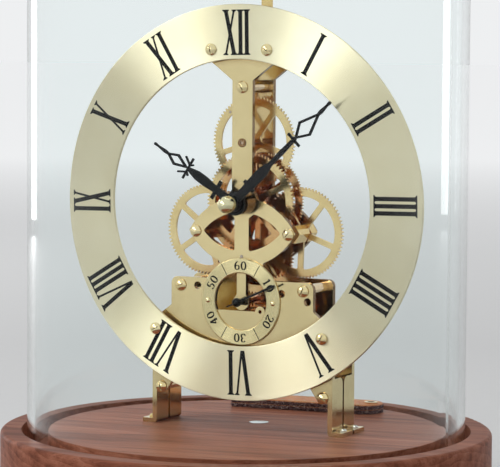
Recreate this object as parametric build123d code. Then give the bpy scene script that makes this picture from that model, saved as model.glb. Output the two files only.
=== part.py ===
from build123d import *
from math import acos, atan2, cos, degrees, hypot, pi, radians, sin, sqrt, tan
import os

# Mechanical desk clock with an open train under a glass dome, in millimetres.
# X runs to the right, Y to the back and Z up. The origin is under the middle of the base.
# Depths are values of Y. Movement places are (X, Z) pairs from the middle of the chapter ring.

# Base and felt pads
pad_height = 2.0
pad_radius = 9.0
pad_circle = 68.0
pad_count = 4
base_height = 26.0
base_radius = 87.5
base_edge_round = 1.6
base_foot_chamfer = 1.0
plateau_radius = 70.5
groove_outer_radius = 80.0
groove_depth = 6.0

# Glass dome
dome_radius = 78.0
dome_wall = 2.6
dome_wall_height = 165.0
dome_cap_height = 60.0
dome_shoulder_radius = 40.0

# Movement plates
ring_height = 80.7
front_plate_front = -4.5
plate_thickness = 2.0
plate_gap = 14.4
bar_half_width = 4.0
bracket_bottom = 43.2
bracket_shoulder = 49.4
bracket_shoulder_x = 12.2
bracket_half_width = 15.2
bracket_flare = 2.6
bracket_top = 59.5
bracket_round = 2.0
lens_middle = -10.3
lens_outer_radius = 24.1
lens_outer_shift = 11.8
lens_inner_radius = 20.1
lens_inner_shift = 13.1
lens_bar_half_width = 2.8
hub_boss_radius = 6.0
stem_half_width = 8.6
stem_top = -19.5
opening_round = 0.8
body_top = -27.2
body_top_half_width = 28.2
body_corner_round = 2.5
body_step = -37.4
body_flare = -41.0
body_flare_x = 33.0
body_flare_drop = 2.0
body_half_width = 35.9
body_bottom = -63.0
leg_lug_bottom = -69.0
leg_lug_width = 5.4
leg_lug_slope = 4.0
leg_lug_round = 1.6
window_radius = 10.7
window_bottom = -38.3
window_bar_half_width = 1.8
window_boss_radius = 3.0
window_lobe = (7.5, -38.3)
window_lobe_radius = 1.9
spare_holes = ((-17.5, -30.1), (15.9, -31.5), (26.0, -33.9))
spare_hole_radius = 1.4

# Feet bent from the plates
foot_thickness = 1.8
foot_depth = 8.6
foot_top = -60.5
foot_round = 2.4
foot_bend_round = 1.3
flange_width = 4.0
flange_thickness = 1.6
foot_screw_inset = 2.0
foot_screw_length = 8.0

# Chapter ring and seconds dial
ring_radius = 70.0
ring_inner_radius = 50.7
ring_thickness = 1.0
ring_stand_off = 2.0
ring_edge = 0.2
ring_spacer_radius = 2.5
ring_screw_places = ((11.0, 54.0), (33.0, -46.1))
dial_radius = 15.5
dial_inner_radius = 10.2
dial_thickness = 0.8
dial_edge = 0.3
dial_screw_circle = 12.9
dial_screw_head = 0.9
dial_screw_height = 0.5
dial_screw_shank = 0.45

# Pillars, posts and their screws
top_pillar_height = 40.8
body_pillar_place = (24.3, -30.2)
leg_pillar_place = (32.2, -67.3)
pillar_radius = 2.3
body_pillar_radius = 2.0
leg_pillar_radius = 1.6
post_flats = 6.2
post_journal = 2.0
screw_head = 2.1
screw_head_height = 1.3
screw_head_edge = 0.4
screw_shank = 0.8
screw_length = 5.0
slot_width = 0.45
slot_depth = 0.5
foot_screw_head = 1.5
foot_screw_head_height = 1.1
base_screw_place = (-1.9, 13.8)
base_screw_head = 3.5
base_screw_proud = 0.5
base_screw_length = 14.0
base_screw_shank = 2.0
ring_slot_start = 35.0
ring_slot_step = 40.0
front_slot_start = 60.0
front_slot_step = 50.0
rear_slot_start = 20.0
rear_slot_step = 70.0

# Gear teeth
pressure_angle = 25.0
wheel_addendum = 0.85
pinion_addendum = 0.85
dedendum = 1.2
backlash = 0.1
motion_module = 0.424
centre_module = 0.34
third_module = 0.39
fourth_module = 0.3
great_module = 0.42
motion_teeth = 75
cannon_teeth = 25
minute_pinion_teeth = 20
hour_teeth = 80
intermediate_teeth = 48
great_teeth = 80
intermediate_pinion_teeth = 10
centre_teeth = 100
third_pinion_teeth = 12
third_teeth = 72
fourth_pinion_teeth = 10
fourth_teeth = 80
escape_pinion_teeth = 10

# Wheel bodies
wheel_thickness = 1.0
rim_width = 2.4
spoke_width = 2.0
spoke_count = 5
spoke_round = 0.6
wheel_hub = 3.0
small_rim_width = 1.6
small_spoke_width = 1.3
small_hub = 2.4
small_wheel_root = 12.5
hour_spoke_phase = 24.0
minute_spoke_phase = 70.0
strike_spoke_phase = 54.0
idler_spoke_phase = 52.0
intermediate_spoke_phase = 18.0
centre_spoke_phase = 36.0
third_spoke_phase = 18.0
fourth_spoke_phase = 0.0
escape_spoke_phase = 45.0
escape_spoke_count = 4
balance_spoke_phase = 30.0
balance_spoke_count = 2

# Directions of the train from one arbor to the next, in degrees from +X
minute_wheel_direction = 210.0
idler_direction = 330.0
strike_wheel_direction = 90.0
third_direction = 270.0
fourth_direction = 270.0
intermediate_direction = 257.0
barrel_direction = 245.0
escape_direction = 210.0

# Depths of the wheel layers
hour_wheel_setback = 4.5
motion_layer_gap = 1.4
idler_layer_gap = 0.6
third_layer_gap = 0.8
centre_layer_gap = 0.6
pinion_overhang = 0.3
cannon_back_overhang = 0.1
great_wheel_setback = 6.5
great_wheel_thickness = 1.2
fourth_wheel_gap = 0.7

# Arbors
pivot_radius = 0.6
pivot_clearance = 0.05
seat_clearance = 0.02
end_shake = 0.15
arbor_radius = 1.0
fine_arbor_radius = 0.7
fine_pivot_radius = 0.4
staff_radius = 0.5
pivot_end = 0.2
bush_wall = 0.9
bush_proud = 0.3

# Hub of the hands
centre_arbor_radius = 0.9
centre_body_radius = 1.5
cannon_radius = 1.6
pipe_clearance = 0.08
pipe_wall = 0.72
hub_bush_radius = 4.0
hub_bush_wall = 0.9
hub_bush_length = 3.0
friction_washer_radius = 2.6
hour_hand_gap = 5.2
hand_thickness = 0.6
hand_spacing = 1.6
collet_radius = 3.3
collet_groove = 0.35
collet_ridges = 3
hour_disc_radius = 4.2
minute_collet_radius = 3.0
nut_collar_radius = 2.9
nut_collar_length = 2.0
nut_ball_radius = 3.05
nut_ball_lead = 1.7
knurl_count = 24
knurl_depth = 0.2

# Hands, across and along from the hub, with the angle clockwise from twelve
hour_hand_angle = -57.5
hour_hand_length = 38.3
hour_blade = ((0.7, 21.9), (1.7, 17.8), (1.75, 14.0), (1.35, 9.9), (1.5, 2.0))
hour_tip = ((0.5, 37.9), (0.34, 36.4), (0.65, 33.2), (0.45, 31.4))
hour_diamond = (22.0, 27.8, 32.4, 2.3)
hour_cross_bars = ((8.6, 3.65, 1.4), (22.1, 4.15, 0.8))
hour_barbs = (((1.5, 22.3), (3.1, 24.9)), ((1.4, 21.9), (2.1, 21.0)))
hour_barb_width = 0.7
minute_hand_angle = 46.1
minute_hand_length = 52.6
minute_blade = (
    (0.7, 34.2), (0.95, 27.0), (0.85, 20.8), (1.95, 17.0), (1.95, 13.0), (1.5, 4.0), (1.6, 0.5),
)
minute_tip = ((0.6, 52.1), (0.42, 50.5), (0.75, 47.6), (0.5, 46.0))
minute_diamond = (33.6, 39.05, 47.4, 3.3)
minute_cross_bars = ((9.4, 2.65, 1.3), (33.3, 3.1, 0.9))
hand_point = 0.4
diamond_line = 0.85
diamond_side_line = 1.0
diamond_point = 0.01
seconds_hand_angle = 65.8
seconds_hand_length = 16.3
seconds_tip_half_width = 0.3
seconds_wide_half_width = 0.4
seconds_wide_place = 13.0
seconds_tail_half_width = 0.22
seconds_tail = 4.45
seconds_ball_radius = 1.65
seconds_pipe_radius = 1.2
seconds_pipe_gap = 0.4
seconds_hand_gap = 0.3
seconds_hand_thickness = 0.4

# Barrel, winding arbor and ratchet
barrel_radius = 15.3
barrel_wall = 0.9
barrel_cover_thickness = 0.8
barrel_front_gap = 0.9
barrel_arbor_radius = 2.2
barrel_core_radius = 3.6
barrel_pivot_radius = 1.9
barrel_inner_gap = 0.3
mainspring_wall = 6.0
winding_square = 2.6
winding_square_length = 8.0
ratchet_radius = 5.5
ratchet_teeth = 20
ratchet_tooth_depth = 0.7
ratchet_drop_share = 0.1
ratchet_gap = 0.2
ratchet_thickness = 1.4
click_direction = 10.0
click_distance = 11.5
click_boss = 1.9
click_width = 1.6
click_lead = 32.0
click_clearance = 0.35
click_thickness = 1.2
click_spring_width = 0.5
click_spring_boss = 1.7
click_spring_lift = 1.9
click_spring_length = 11.0
click_spring_turn = 4.0

# Strike
strike_pin_circle = 14.1
strike_pin_radius = 0.5
strike_pin_length = 2.4
strike_pin_count = 3
strike_pin_phase = 12.0
hammer_place = (-5.4, 55.0)
hammer_knee = (-1.5, 66.0)
hammer_neck_height = 75.0
hammer_arm_gap = 0.2
hammer_tail_clearance = 0.5
hammer_rod = 0.8
hammer_head_radius = 2.4
hammer_head_length = 6.0
hammer_gap = 0.6
hammer_boss_radius = 2.2
bell_radius = 21.0
bell_height = 19.0
bell_wall = 1.2
bell_crown_radius = 7.0
bell_rim = 78.5
bell_depth = 10.0
bell_post_half_width = 2.0
bell_post_thickness = 1.2
bell_post_bottom = 43.6
bell_post_screws = (46.5, 56.0)
bell_stud_radius = 1.0
bell_nut_radius = 2.6
bell_nut_height = 2.6

# Escapement behind the rear plate
escape_layer_gap = 1.6
escape_thickness = 0.6
escape_radius = 4.3
escape_teeth = 15
escape_tooth_depth = 1.0
escape_tooth_share = 0.25
lever_distance = 6.3
lever_direction = 240.0
balance_distance = 6.0
balance_direction = 240.0
lever_hub = 1.2
lever_arm_width = 0.8
pallet_gap = 1.0
pallet_span = 50.0
fork_length = 4.2
fork_width = 1.6
fork_slot = 0.7
fork_slot_depth = 1.2
roller_radius = 2.4
roller_thickness = 0.6
impulse_pin_radius = 0.3
impulse_pin_circle = 1.9
impulse_pin_gap = 0.2
balance_radius = 8.0
balance_rim = 1.3
balance_thickness = 1.4
balance_setback = 2.2
balance_spoke = 1.2
collet_of_balance = 1.2
cock_gap = 0.4
cock_thickness = 0.8
bridge_setback = 2.8
bridge_thickness = 1.8
bridge_width = 5.6
bridge_posts = ((-26.0, -44.0), (-8.5, -59.5), (-17.0, -33.0))
bridge_post_radius = 2.2
bridge_post_waist = 1.5
hairspring_wire = 0.12
hairspring_pitch = 0.75
hairspring_start = 1.95
hairspring_half_turns = 11
hairspring_end_run = 0.5
hairspring_samples = 24
hairspring_setback = 1.3
stud_size = 0.9

# Leather tag on the base
tag_length = 59.0
tag_width = 15.0
tag_height = 3.5
tag_middle_x = -1.5
tag_inset = 15.5
tag_turn = 5.8
tag_round = 2.0
eyelet_radius = 2.6
eyelet_hole = 1.4
eyelet_inset = 4.6
eyelet_proud = 0.4

# Digits kept when a place is worked out
place_digits = 9

# Heights and depths worked out from the sizes above
base_top = pad_height + base_height
ring_z = base_top + ring_height
groove_floor = base_top - groove_depth
front_plate_back = front_plate_front + plate_thickness
rear_plate_front = front_plate_back + plate_gap
rear_plate_back = rear_plate_front + plate_thickness
ring_back = front_plate_front - ring_stand_off
ring_front = ring_back - ring_thickness
dial_front = front_plate_front - dial_thickness
hour_wheel_front = front_plate_back + hour_wheel_setback
hour_wheel_back = hour_wheel_front + wheel_thickness
motion_front = hour_wheel_back + motion_layer_gap
motion_back = motion_front + wheel_thickness
idler_front = motion_back + idler_layer_gap
idler_back = idler_front + wheel_thickness
third_front = idler_back + third_layer_gap
third_back = third_front + wheel_thickness
centre_front = third_back + centre_layer_gap
centre_back = centre_front + wheel_thickness
great_front = front_plate_back + great_wheel_setback
great_back = great_front + great_wheel_thickness
barrel_front = front_plate_back + barrel_front_gap
fourth_wheel_front = rear_plate_back + fourth_wheel_gap
fourth_wheel_back = fourth_wheel_front + wheel_thickness
escape_front = fourth_wheel_back + escape_layer_gap
escape_back = escape_front + escape_thickness
balance_front = escape_back + balance_setback
balance_back = balance_front + balance_thickness
bridge_front = balance_back + bridge_setback
bridge_back = bridge_front + bridge_thickness
hairspring_depth = balance_back + hairspring_setback
ratchet_front = rear_plate_back + ratchet_gap
ratchet_back = ratchet_front + ratchet_thickness


def step(place, distance, direction):
    """The place that lies a distance away in a direction."""
    angle = radians(direction)
    across = round(place[0] + distance * cos(angle), place_digits)
    return across, round(place[1] + distance * sin(angle), place_digits)


def mesh_distance(first_teeth, second_teeth, module):
    """Centre distance of two meshing gears."""
    return (first_teeth + second_teeth) * module / 2


# Places of the arbors
centre_place = (0.0, 0.0)
motion_distance = mesh_distance(cannon_teeth, motion_teeth, motion_module)
strike_place = step(centre_place, motion_distance, strike_wheel_direction)
minute_place = step(centre_place, motion_distance, minute_wheel_direction)
idler_place = step(centre_place, motion_distance, idler_direction)
third_distance = mesh_distance(centre_teeth, third_pinion_teeth, centre_module)
third_place = step(centre_place, third_distance, third_direction)
fourth_distance = mesh_distance(third_teeth, fourth_pinion_teeth, third_module)
fourth_place = step(third_place, fourth_distance, fourth_direction)
intermediate_distance = mesh_distance(motion_teeth, intermediate_teeth, motion_module)
intermediate_place = step(idler_place, intermediate_distance, intermediate_direction)
barrel_distance = mesh_distance(great_teeth, intermediate_pinion_teeth, great_module)
barrel_place = step(intermediate_place, barrel_distance, barrel_direction)
escape_distance = mesh_distance(fourth_teeth, escape_pinion_teeth, fourth_module)
escape_place = step(fourth_place, escape_distance, escape_direction)
lever_place = step(escape_place, lever_distance, lever_direction)
balance_place = step(lever_place, balance_distance, balance_direction)
click_place = step(barrel_place, click_distance, click_direction)
top_pillar_place = (0.0, top_pillar_height)


def slab(sketch, front, back):
    """A sketch in X and Z, measured from the ring's middle, made solid between two depths."""
    face = Plane.XZ * sketch
    return Pos(0, back, ring_z) * extrude(face, amount=back - front, dir=(0, -1, 0))


def disc(place, radius):
    """A round sketch at a movement place."""
    return Pos(*place) * Circle(radius)


def rod(place, radius, front, back):
    """A round bar along Y."""
    return slab(disc(place, radius), front, back)


def tube(place, radius, bore, front, back):
    """A round bar along Y with a hole through it."""
    return slab(disc(place, radius) - disc(place, bore), front, back)


def both_sides(place):
    """A place and its mirror image on the left."""
    return [place, (-place[0], place[1])]


def link(first, second, width):
    """A sketch of a bar with round ends from one place to another."""
    run = (second[0] - first[0], second[1] - first[1])
    middle = ((first[0] + second[0]) / 2, (first[1] + second[1]) / 2)
    turn = degrees(atan2(run[1], run[0]))
    return Pos(*middle) * Rot(0, 0, turn) * SlotCenterToCenter(hypot(*run), width)


def cap(radius, edge, height, face):
    """A domed head around the Y axis, from a face forward to the height."""
    rise = height - edge
    sphere = (radius * radius + rise * rise) / (2 * rise)
    middle = face - height + sphere
    half = acos((sphere - rise) / sphere) / 2
    side = Polyline((0, face - height), (0, face), (radius, face), (radius, face - edge))
    crown_middle = (sphere * sin(half), middle - sphere * cos(half))
    crown = ThreePointArc((radius, face - edge), crown_middle, (0, face - height))
    return revolve(make_face([*side.edges(), crown]), Axis.Y)


def screw(head, height, edge, shank, length, slot_turn):
    """A slotted screw at the origin, with its head towards -Y and its shank towards +Y."""
    body = cap(head, edge, height, 0) + Pos(0, length / 2, 0) * Rot(90, 0, 0) * Cylinder(shank, length)
    slot = Pos(0, -height, 0) * Box(3 * head, 2 * slot_depth, slot_width)
    return body - Rot(0, slot_turn, 0) * slot


def front_screw(place, face, length, slot_turn):
    """A plate screw with its head on a face that looks forward."""
    shape = screw(screw_head, screw_head_height, screw_head_edge, screw_shank, length, slot_turn)
    return Pos(place[0], face, ring_z + place[1]) * shape


def rear_screw(place, face, length, slot_turn):
    """A plate screw with its head on a face that looks back."""
    shape = screw(screw_head, screw_head_height, screw_head_edge, screw_shank, length, slot_turn)
    return Pos(place[0], face, ring_z + place[1]) * Rot(0, 0, 180) * shape


def involute(angle):
    """The involute function of a pressure angle."""
    return tan(angle) - angle


def gear_sketch(teeth, module, addendum, phase):
    """A spur gear outline at the origin, with a tooth centred on the phase in degrees."""
    pitch = teeth * module / 2
    base = pitch * cos(radians(pressure_angle))
    tip = pitch + addendum * module
    root = pitch - dedendum * module
    pitch_half = (pi * module / 2 - backlash) / 2 / pitch
    flank = [max(root, base), pitch, tip]
    radii = flank if root > base else [root] + flank
    halves = []
    for radius in radii:
        reach = acos(min(1, base / max(radius, base)))
        halves.append(pitch_half + involute(radians(pressure_angle)) - involute(reach))
    points = []
    for tooth in range(teeth):
        middle = radians(phase) + 2 * pi * tooth / teeth
        rising = [(radius, middle - half) for radius, half in zip(radii, halves)]
        falling = [(radius, middle + half) for radius, half in zip(radii, halves)]
        for radius, angle in rising + falling[::-1]:
            points.append((radius * cos(angle), radius * sin(angle)))
    return Polygon(*points, align=None)


def meshing_phase(first_phase, first_teeth, second_teeth, direction):
    """The phase of a gear that meshes with another one lying in the opposite direction."""
    lead = (first_phase - direction) * first_teeth / second_teeth
    return direction + 180 - lead + 180 / second_teeth


def spoked(blank, rim_inner, hub, spoke, count, spoke_phase, corner):
    """Cut the windows between the rim, the hub and the spokes out of a wheel sketch."""
    windows = Circle(rim_inner) - Circle(hub)
    for arm in range(count):
        turn = spoke_phase + 360 * arm / count
        windows -= Rot(0, 0, turn) * Pos(rim_inner / 2, 0) * Rectangle(rim_inner, spoke)
    return blank - fillet(windows.vertices(), corner)


def wheel(place, teeth, module, phase, front, back, bore, spoke_phase):
    """A spoked brass wheel with a hole for its arbor."""
    outline = gear_sketch(teeth, module, wheel_addendum, phase)
    root = teeth * module / 2 - dedendum * module
    small = root < small_wheel_root
    rim_inner = root - (small_rim_width if small else rim_width)
    hub = small_hub if small else wheel_hub
    spoke = small_spoke_width if small else spoke_width
    sketch = spoked(outline, rim_inner, hub, spoke, spoke_count, spoke_phase, spoke_round)
    sketch -= Circle(bore)
    return slab(Pos(*place) * sketch, front, back)


def pinion(place, teeth, module, phase, front, back):
    """A solid pinion."""
    sketch = gear_sketch(teeth, module, pinion_addendum, phase)
    return slab(Pos(*place) * sketch, front, back)


# Tooth phases, worked out along the train from the centre arbor
cannon_phase = 0.0
strike_phase = meshing_phase(cannon_phase, cannon_teeth, motion_teeth, strike_wheel_direction)
minute_phase = meshing_phase(cannon_phase, cannon_teeth, motion_teeth, minute_wheel_direction)
minute_pinion_phase = 0.0
hour_phase = meshing_phase(
    minute_pinion_phase, minute_pinion_teeth, hour_teeth, minute_wheel_direction + 180
)
idler_phase = meshing_phase(cannon_phase, cannon_teeth, motion_teeth, idler_direction)
intermediate_phase = meshing_phase(
    idler_phase, motion_teeth, intermediate_teeth, intermediate_direction
)
intermediate_pinion_phase = 0.0
great_phase = meshing_phase(
    intermediate_pinion_phase, intermediate_pinion_teeth, great_teeth, barrel_direction
)
centre_phase = 0.0
third_pinion_phase = meshing_phase(centre_phase, centre_teeth, third_pinion_teeth, third_direction)
third_phase = 0.0
fourth_pinion_phase = meshing_phase(third_phase, third_teeth, fourth_pinion_teeth, fourth_direction)
fourth_phase = 0.0
escape_pinion_phase = meshing_phase(
    fourth_phase, fourth_teeth, escape_pinion_teeth, escape_direction
)


def pivot_hole(radius):
    """The radius of the hole that a pivot turns in."""
    return radius + pivot_clearance


def seat_hole(radius):
    """The radius of the hole that a fixed pin or shank stands in."""
    return radius + seat_clearance


def column(half_width, low, high):
    """An upright rectangle on the middle line."""
    return Pos(0, (low + high) / 2) * Rectangle(2 * half_width, high - low)


def symmetric(right_half):
    """A polygon from the points of its right half, listed from the top down."""
    left_half = [(-x, z) for x, z in right_half]
    return Polygon(*left_half, *reversed(right_half), align=None)


def pierced(sketch, places, radius):
    """A sketch with a round hole at each place."""
    for place in places:
        sketch -= disc(place, radius)
    return sketch


# Places and depths of what stands on the plates
pillar_places = [top_pillar_place, *both_sides(body_pillar_place), *both_sides(leg_pillar_place)]
post_places = [minute_place, idler_place]
ring_screws = [place for pair in ring_screw_places for place in both_sides(pair)]
dial_screws = [(fourth_place[0] + side * dial_screw_circle, fourth_place[1]) for side in (1, -1)]
bell_post_places = [(0.0, height) for height in bell_post_screws]
front_foot = (front_plate_front, front_plate_front + foot_depth)
rear_foot = (rear_plate_back - foot_depth, rear_plate_back)
click_nose_distance = ratchet_radius + click_clearance + click_width / 2
click_nose = step(barrel_place, click_nose_distance, click_direction + click_lead)
click_spring_tip = (click_nose[0] + click_width, click_nose[1] + click_spring_lift)
click_spring_place = step(click_spring_tip, click_spring_length, click_spring_turn)
pipe_bore = cannon_radius + pipe_clearance
pipe_radius = pipe_bore + pipe_wall
hub_bush_seat = pipe_radius + pipe_clearance + hub_bush_wall
strike_bush_radius = pivot_hole(pivot_radius) + bush_wall
cannon_front = motion_front - pinion_overhang
cannon_back = motion_back + cannon_back_overhang
centre_pinion_front = idler_front - pinion_overhang + cannon_back_overhang
hub_bush_front = front_plate_front - hub_bush_length
hour_hand_back = front_plate_front - hour_hand_gap
hour_hand_front = hour_hand_back - hand_thickness
minute_hand_back = hour_hand_front - hand_spacing
minute_hand_front = minute_hand_back - hand_thickness
nut_face = minute_hand_front - nut_collar_length
nut_ball_middle = nut_face - nut_ball_lead
seconds_hand_back = ring_front - seconds_hand_gap
seconds_hand_front = seconds_hand_back - seconds_hand_thickness
cock_front = escape_back + cock_gap
cock_back = cock_front + cock_thickness
arbor_front = front_plate_back + end_shake
arbor_back = rear_plate_front - end_shake
fine_arbor_front = rear_plate_back + end_shake
fine_arbor_back = bridge_front - end_shake
bell_crown = bell_rim + bell_height - bell_wall


def lens(radius, shift):
    """The almond shape between two arcs."""
    upper = disc((0, lens_middle - shift), radius)
    return upper & disc((0, lens_middle + shift), radius)


def plate_sketch():
    """The outline that both movement plates share, with the two openings in the almond."""
    bracket = symmetric([
        (bracket_half_width, bracket_top),
        (bracket_half_width, bracket_shoulder + bracket_flare),
        (bracket_shoulder_x, bracket_shoulder),
        (bar_half_width, bracket_bottom),
    ])
    bracket = fillet(bracket.vertices().group_by(Axis.Y)[-1], bracket_round)
    body = symmetric([
        (body_top_half_width, body_top),
        (body_top_half_width, body_step),
        (body_flare_x, body_flare),
        (body_half_width, body_flare - body_flare_drop),
        (body_half_width, leg_lug_bottom),
        (body_half_width - leg_lug_width, leg_lug_bottom),
        (body_half_width - leg_lug_width - leg_lug_slope, body_bottom),
    ])
    body = fillet(body.vertices().group_by(Axis.Y)[-1], body_corner_round)
    body = fillet(body.vertices().group_by(Axis.Y)[0], leg_lug_round)
    upper_bar = column(bar_half_width, 0, bracket_bottom)
    stem = column(stem_half_width, body_top, stem_top)
    boss = disc(centre_place, hub_boss_radius)
    openings = lens(lens_inner_radius, lens_inner_shift)
    openings -= column(lens_bar_half_width, lens_middle - lens_inner_radius, 0) + boss
    almond = lens(lens_outer_radius, lens_outer_shift) - fillet(openings.vertices(), opening_round)
    return bracket + upper_bar + almond + boss + stem + body


def window_sketch():
    """The opening behind the seconds dial, around the arm that carries its pivot."""
    window_top = fourth_place[1] + window_radius
    window = disc(fourth_place, window_radius) & column(window_radius, window_bottom, window_top)
    window -= column(window_bar_half_width, fourth_place[1], window_top)
    window -= disc(fourth_place, window_boss_radius)
    return window - disc(window_lobe, window_lobe_radius)


def foot(front, back):
    """The right foot, bent back from a plate's edge and out onto the base."""
    inner = body_half_width - foot_thickness
    flange_end = body_half_width + flange_width
    flange_top = flange_thickness - ring_height
    profile = Polygon(
        (inner, foot_top),
        (inner, -ring_height),
        (flange_end, -ring_height),
        (flange_end, flange_top),
        (body_half_width, flange_top),
        (body_half_width, foot_top),
        align=None,
    )
    bend = profile.vertices().group_by(Axis.Y)[0].sort_by(Axis.X)[0]
    shape = slab(fillet(bend, foot_bend_round), front, back)
    shape = fillet(shape.edges().filter_by(Axis.X).group_by(Axis.Z)[-1], foot_round)
    hole = Pos(body_half_width + foot_screw_inset, (front + back) / 2, base_top)
    return shape - hole * Cylinder(seat_hole(screw_shank), 4 * flange_thickness)


def plate(sketch, front, back, foot_depths):
    """A movement plate with its two feet."""
    right_foot = foot(*foot_depths)
    return slab(sketch, front, back) + right_foot + mirror(right_foot, about=Plane.YZ)


def front_plate():
    """The front plate, with the pivot holes of the train and the window of the seconds."""
    sketch = plate_sketch() - window_sketch()
    train = [third_place, fourth_place, intermediate_place, hammer_place, window_lobe]
    sketch = pierced(sketch, train, pivot_hole(pivot_radius))
    sketch = pierced(sketch, [centre_place], seat_hole(hub_bush_seat))
    sketch = pierced(sketch, [strike_place], seat_hole(strike_bush_radius))
    sketch = pierced(sketch, [barrel_place], pivot_hole(barrel_pivot_radius))
    sketch = pierced(sketch, pillar_places + post_places + ring_screws, seat_hole(screw_shank))
    sketch = pierced(sketch, dial_screws, seat_hole(dial_screw_shank))
    sketch = pierced(sketch, spare_holes, spare_hole_radius)
    return plate(sketch, front_plate_front, front_plate_back, front_foot)


def rear_plate():
    """The rear plate, which also carries the escapement, the click and the bell post."""
    train = [centre_place, strike_place, third_place, fourth_place, intermediate_place]
    sketch = pierced(plate_sketch(), train, pivot_hole(pivot_radius))
    sketch = pierced(sketch, [hammer_place], pivot_hole(arbor_radius))
    escapement = [escape_place, lever_place, balance_place]
    sketch = pierced(sketch, escapement, pivot_hole(fine_pivot_radius))
    sketch = pierced(sketch, [barrel_place], pivot_hole(barrel_pivot_radius))
    fixed = pillar_places + post_places + bell_post_places + list(bridge_posts)
    fixed += [click_place, click_spring_place]
    sketch = pierced(sketch, fixed, seat_hole(screw_shank))
    return plate(sketch, rear_plate_front, rear_plate_back, rear_foot)


def plate_bushes():
    """The long bush of the hour pipe and the small bush of the strike arbor."""
    bore = pipe_radius + pipe_clearance
    hub = tube(centre_place, hub_bush_radius, bore, hub_bush_front, front_plate_front)
    hub += tube(centre_place, hub_bush_seat, bore, front_plate_front, front_plate_back)
    strike_front = front_plate_front - bush_proud
    bore = pivot_hole(pivot_radius)
    strike = tube(strike_place, strike_bush_radius, bore, strike_front, front_plate_back)
    return [hub, strike]


def pad_places():
    """The places of the felt pads under the base, as X and Y."""
    return [step((0, 0), pad_circle, 45 + 360 * pad / pad_count) for pad in range(pad_count)]


def foot_screw_places():
    """The places of the four foot screws, as X and Y."""
    across = body_half_width + foot_screw_inset
    depths = [sum(front_foot) / 2, sum(rear_foot) / 2]
    return [(side * across, depth) for side in (-1, 1) for depth in depths]


def base():
    """The turned wooden base with its groove for the dome."""
    body = Pos(0, 0, pad_height + base_height / 2) * Cylinder(base_radius, base_height)
    rims = body.edges().filter_by(GeomType.CIRCLE).sort_by(Axis.Z)
    body = fillet(rims[-1], base_edge_round)
    foot_rim = body.edges().filter_by(GeomType.CIRCLE).sort_by(Axis.Z)[0]
    body = chamfer(foot_rim, base_foot_chamfer)
    groove = Cylinder(groove_outer_radius, groove_depth) - Cylinder(plateau_radius, groove_depth)
    body -= Pos(0, 0, base_top - groove_depth / 2) * groove
    for x, y in foot_screw_places():
        body -= Pos(x, y, base_top) * Cylinder(seat_hole(screw_shank), 2 * foot_screw_length)
    hole = Cylinder(seat_hole(base_screw_shank), 2 * base_screw_length)
    return body - Pos(*base_screw_place, base_top) * hole


def foot_pads():
    """Four felt pads under the base."""
    return [Pos(x, y, pad_height / 2) * Cylinder(pad_radius, pad_height) for x, y in pad_places()]


def upright(shape):
    """Turn a screw so that its head points up."""
    return Rot(-90, 0, 0) * shape


def base_screw():
    """The large flat screw in the middle of the base."""
    edge = base_screw_proud / 2
    shape = screw(base_screw_head, base_screw_proud, edge, base_screw_shank, base_screw_length, 0)
    return Pos(*base_screw_place, base_top) * upright(shape)


def foot_screws():
    """The four screws that hold the feet on the base."""
    shapes = []
    for x, y in foot_screw_places():
        shape = screw(
            foot_screw_head, foot_screw_head_height, screw_head_edge, screw_shank, foot_screw_length, x
        )
        shapes.append(Pos(x, y, base_top + flange_thickness) * upright(shape))
    return shapes


def glass_dome():
    """The glass dome, drawn as half a section and turned round the Z axis."""
    shoulder_middle = dome_radius - dome_shoulder_radius
    shoulder_height = groove_floor + dome_wall_height
    rise = dome_cap_height - dome_shoulder_radius
    drop = (shoulder_middle ** 2 - rise ** 2) / (2 * rise)
    crown_middle = shoulder_height - drop
    crown_radius = dome_cap_height + drop
    lean = atan2(drop, shoulder_middle)

    def half_section(inset):
        shoulder = dome_shoulder_radius - inset
        crown = crown_radius - inset
        outer = dome_radius - inset
        join = (shoulder_middle + shoulder * cos(lean), shoulder_height + shoulder * sin(lean))
        shoulder_point = (
            shoulder_middle + shoulder * cos(lean / 2),
            shoulder_height + shoulder * sin(lean / 2),
        )
        crown_lean = (lean + pi / 2) / 2
        crown_point = (crown * cos(crown_lean), crown_middle + crown * sin(crown_lean))
        top = (0, crown_middle + crown)
        straight = Polyline(top, (0, groove_floor), (outer, groove_floor), (outer, shoulder_height))
        arcs = [
            ThreePointArc((outer, shoulder_height), shoulder_point, join),
            ThreePointArc(join, crown_point, top),
        ]
        return Plane.XZ * make_face([*straight.edges(), *[arc.edge() for arc in arcs]])

    return revolve(half_section(0) - half_section(dome_wall), Axis.Z)


def edged_ring(place, radius, inner, front, back, edge):
    """A flat ring with its two front edges bevelled."""
    ring = tube(place, radius, inner, front, back)
    return chamfer(ring.edges().filter_by(GeomType.CIRCLE).group_by(Axis.Y)[0], edge)


def chapter_ring():
    """The chapter ring with its four screw holes."""
    ring = edged_ring(centre_place, ring_radius, ring_inner_radius, ring_front, ring_back, ring_edge)
    for place in ring_screws:
        ring -= rod(place, seat_hole(screw_shank), ring_front, ring_back)
    return ring


def seconds_dial():
    """The seconds dial, which lies on the front plate."""
    place = fourth_place
    ring = edged_ring(
        place, dial_radius, dial_inner_radius, dial_front, front_plate_front, dial_edge
    )
    for hole in dial_screws:
        ring -= rod(hole, seat_hole(dial_screw_shank), dial_front, front_plate_front)
    return ring


def seconds_dial_screws():
    """The two small screws of the seconds dial."""
    length = dial_thickness + plate_thickness
    edge = dial_screw_height / 3
    shape = cap(dial_screw_head, edge, dial_screw_height, 0)
    shape += Pos(0, length / 2, 0) * Rot(90, 0, 0) * Cylinder(dial_screw_shank, length)
    return [Pos(x, dial_front, ring_z + z) * shape for x, z in dial_screws]


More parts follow.
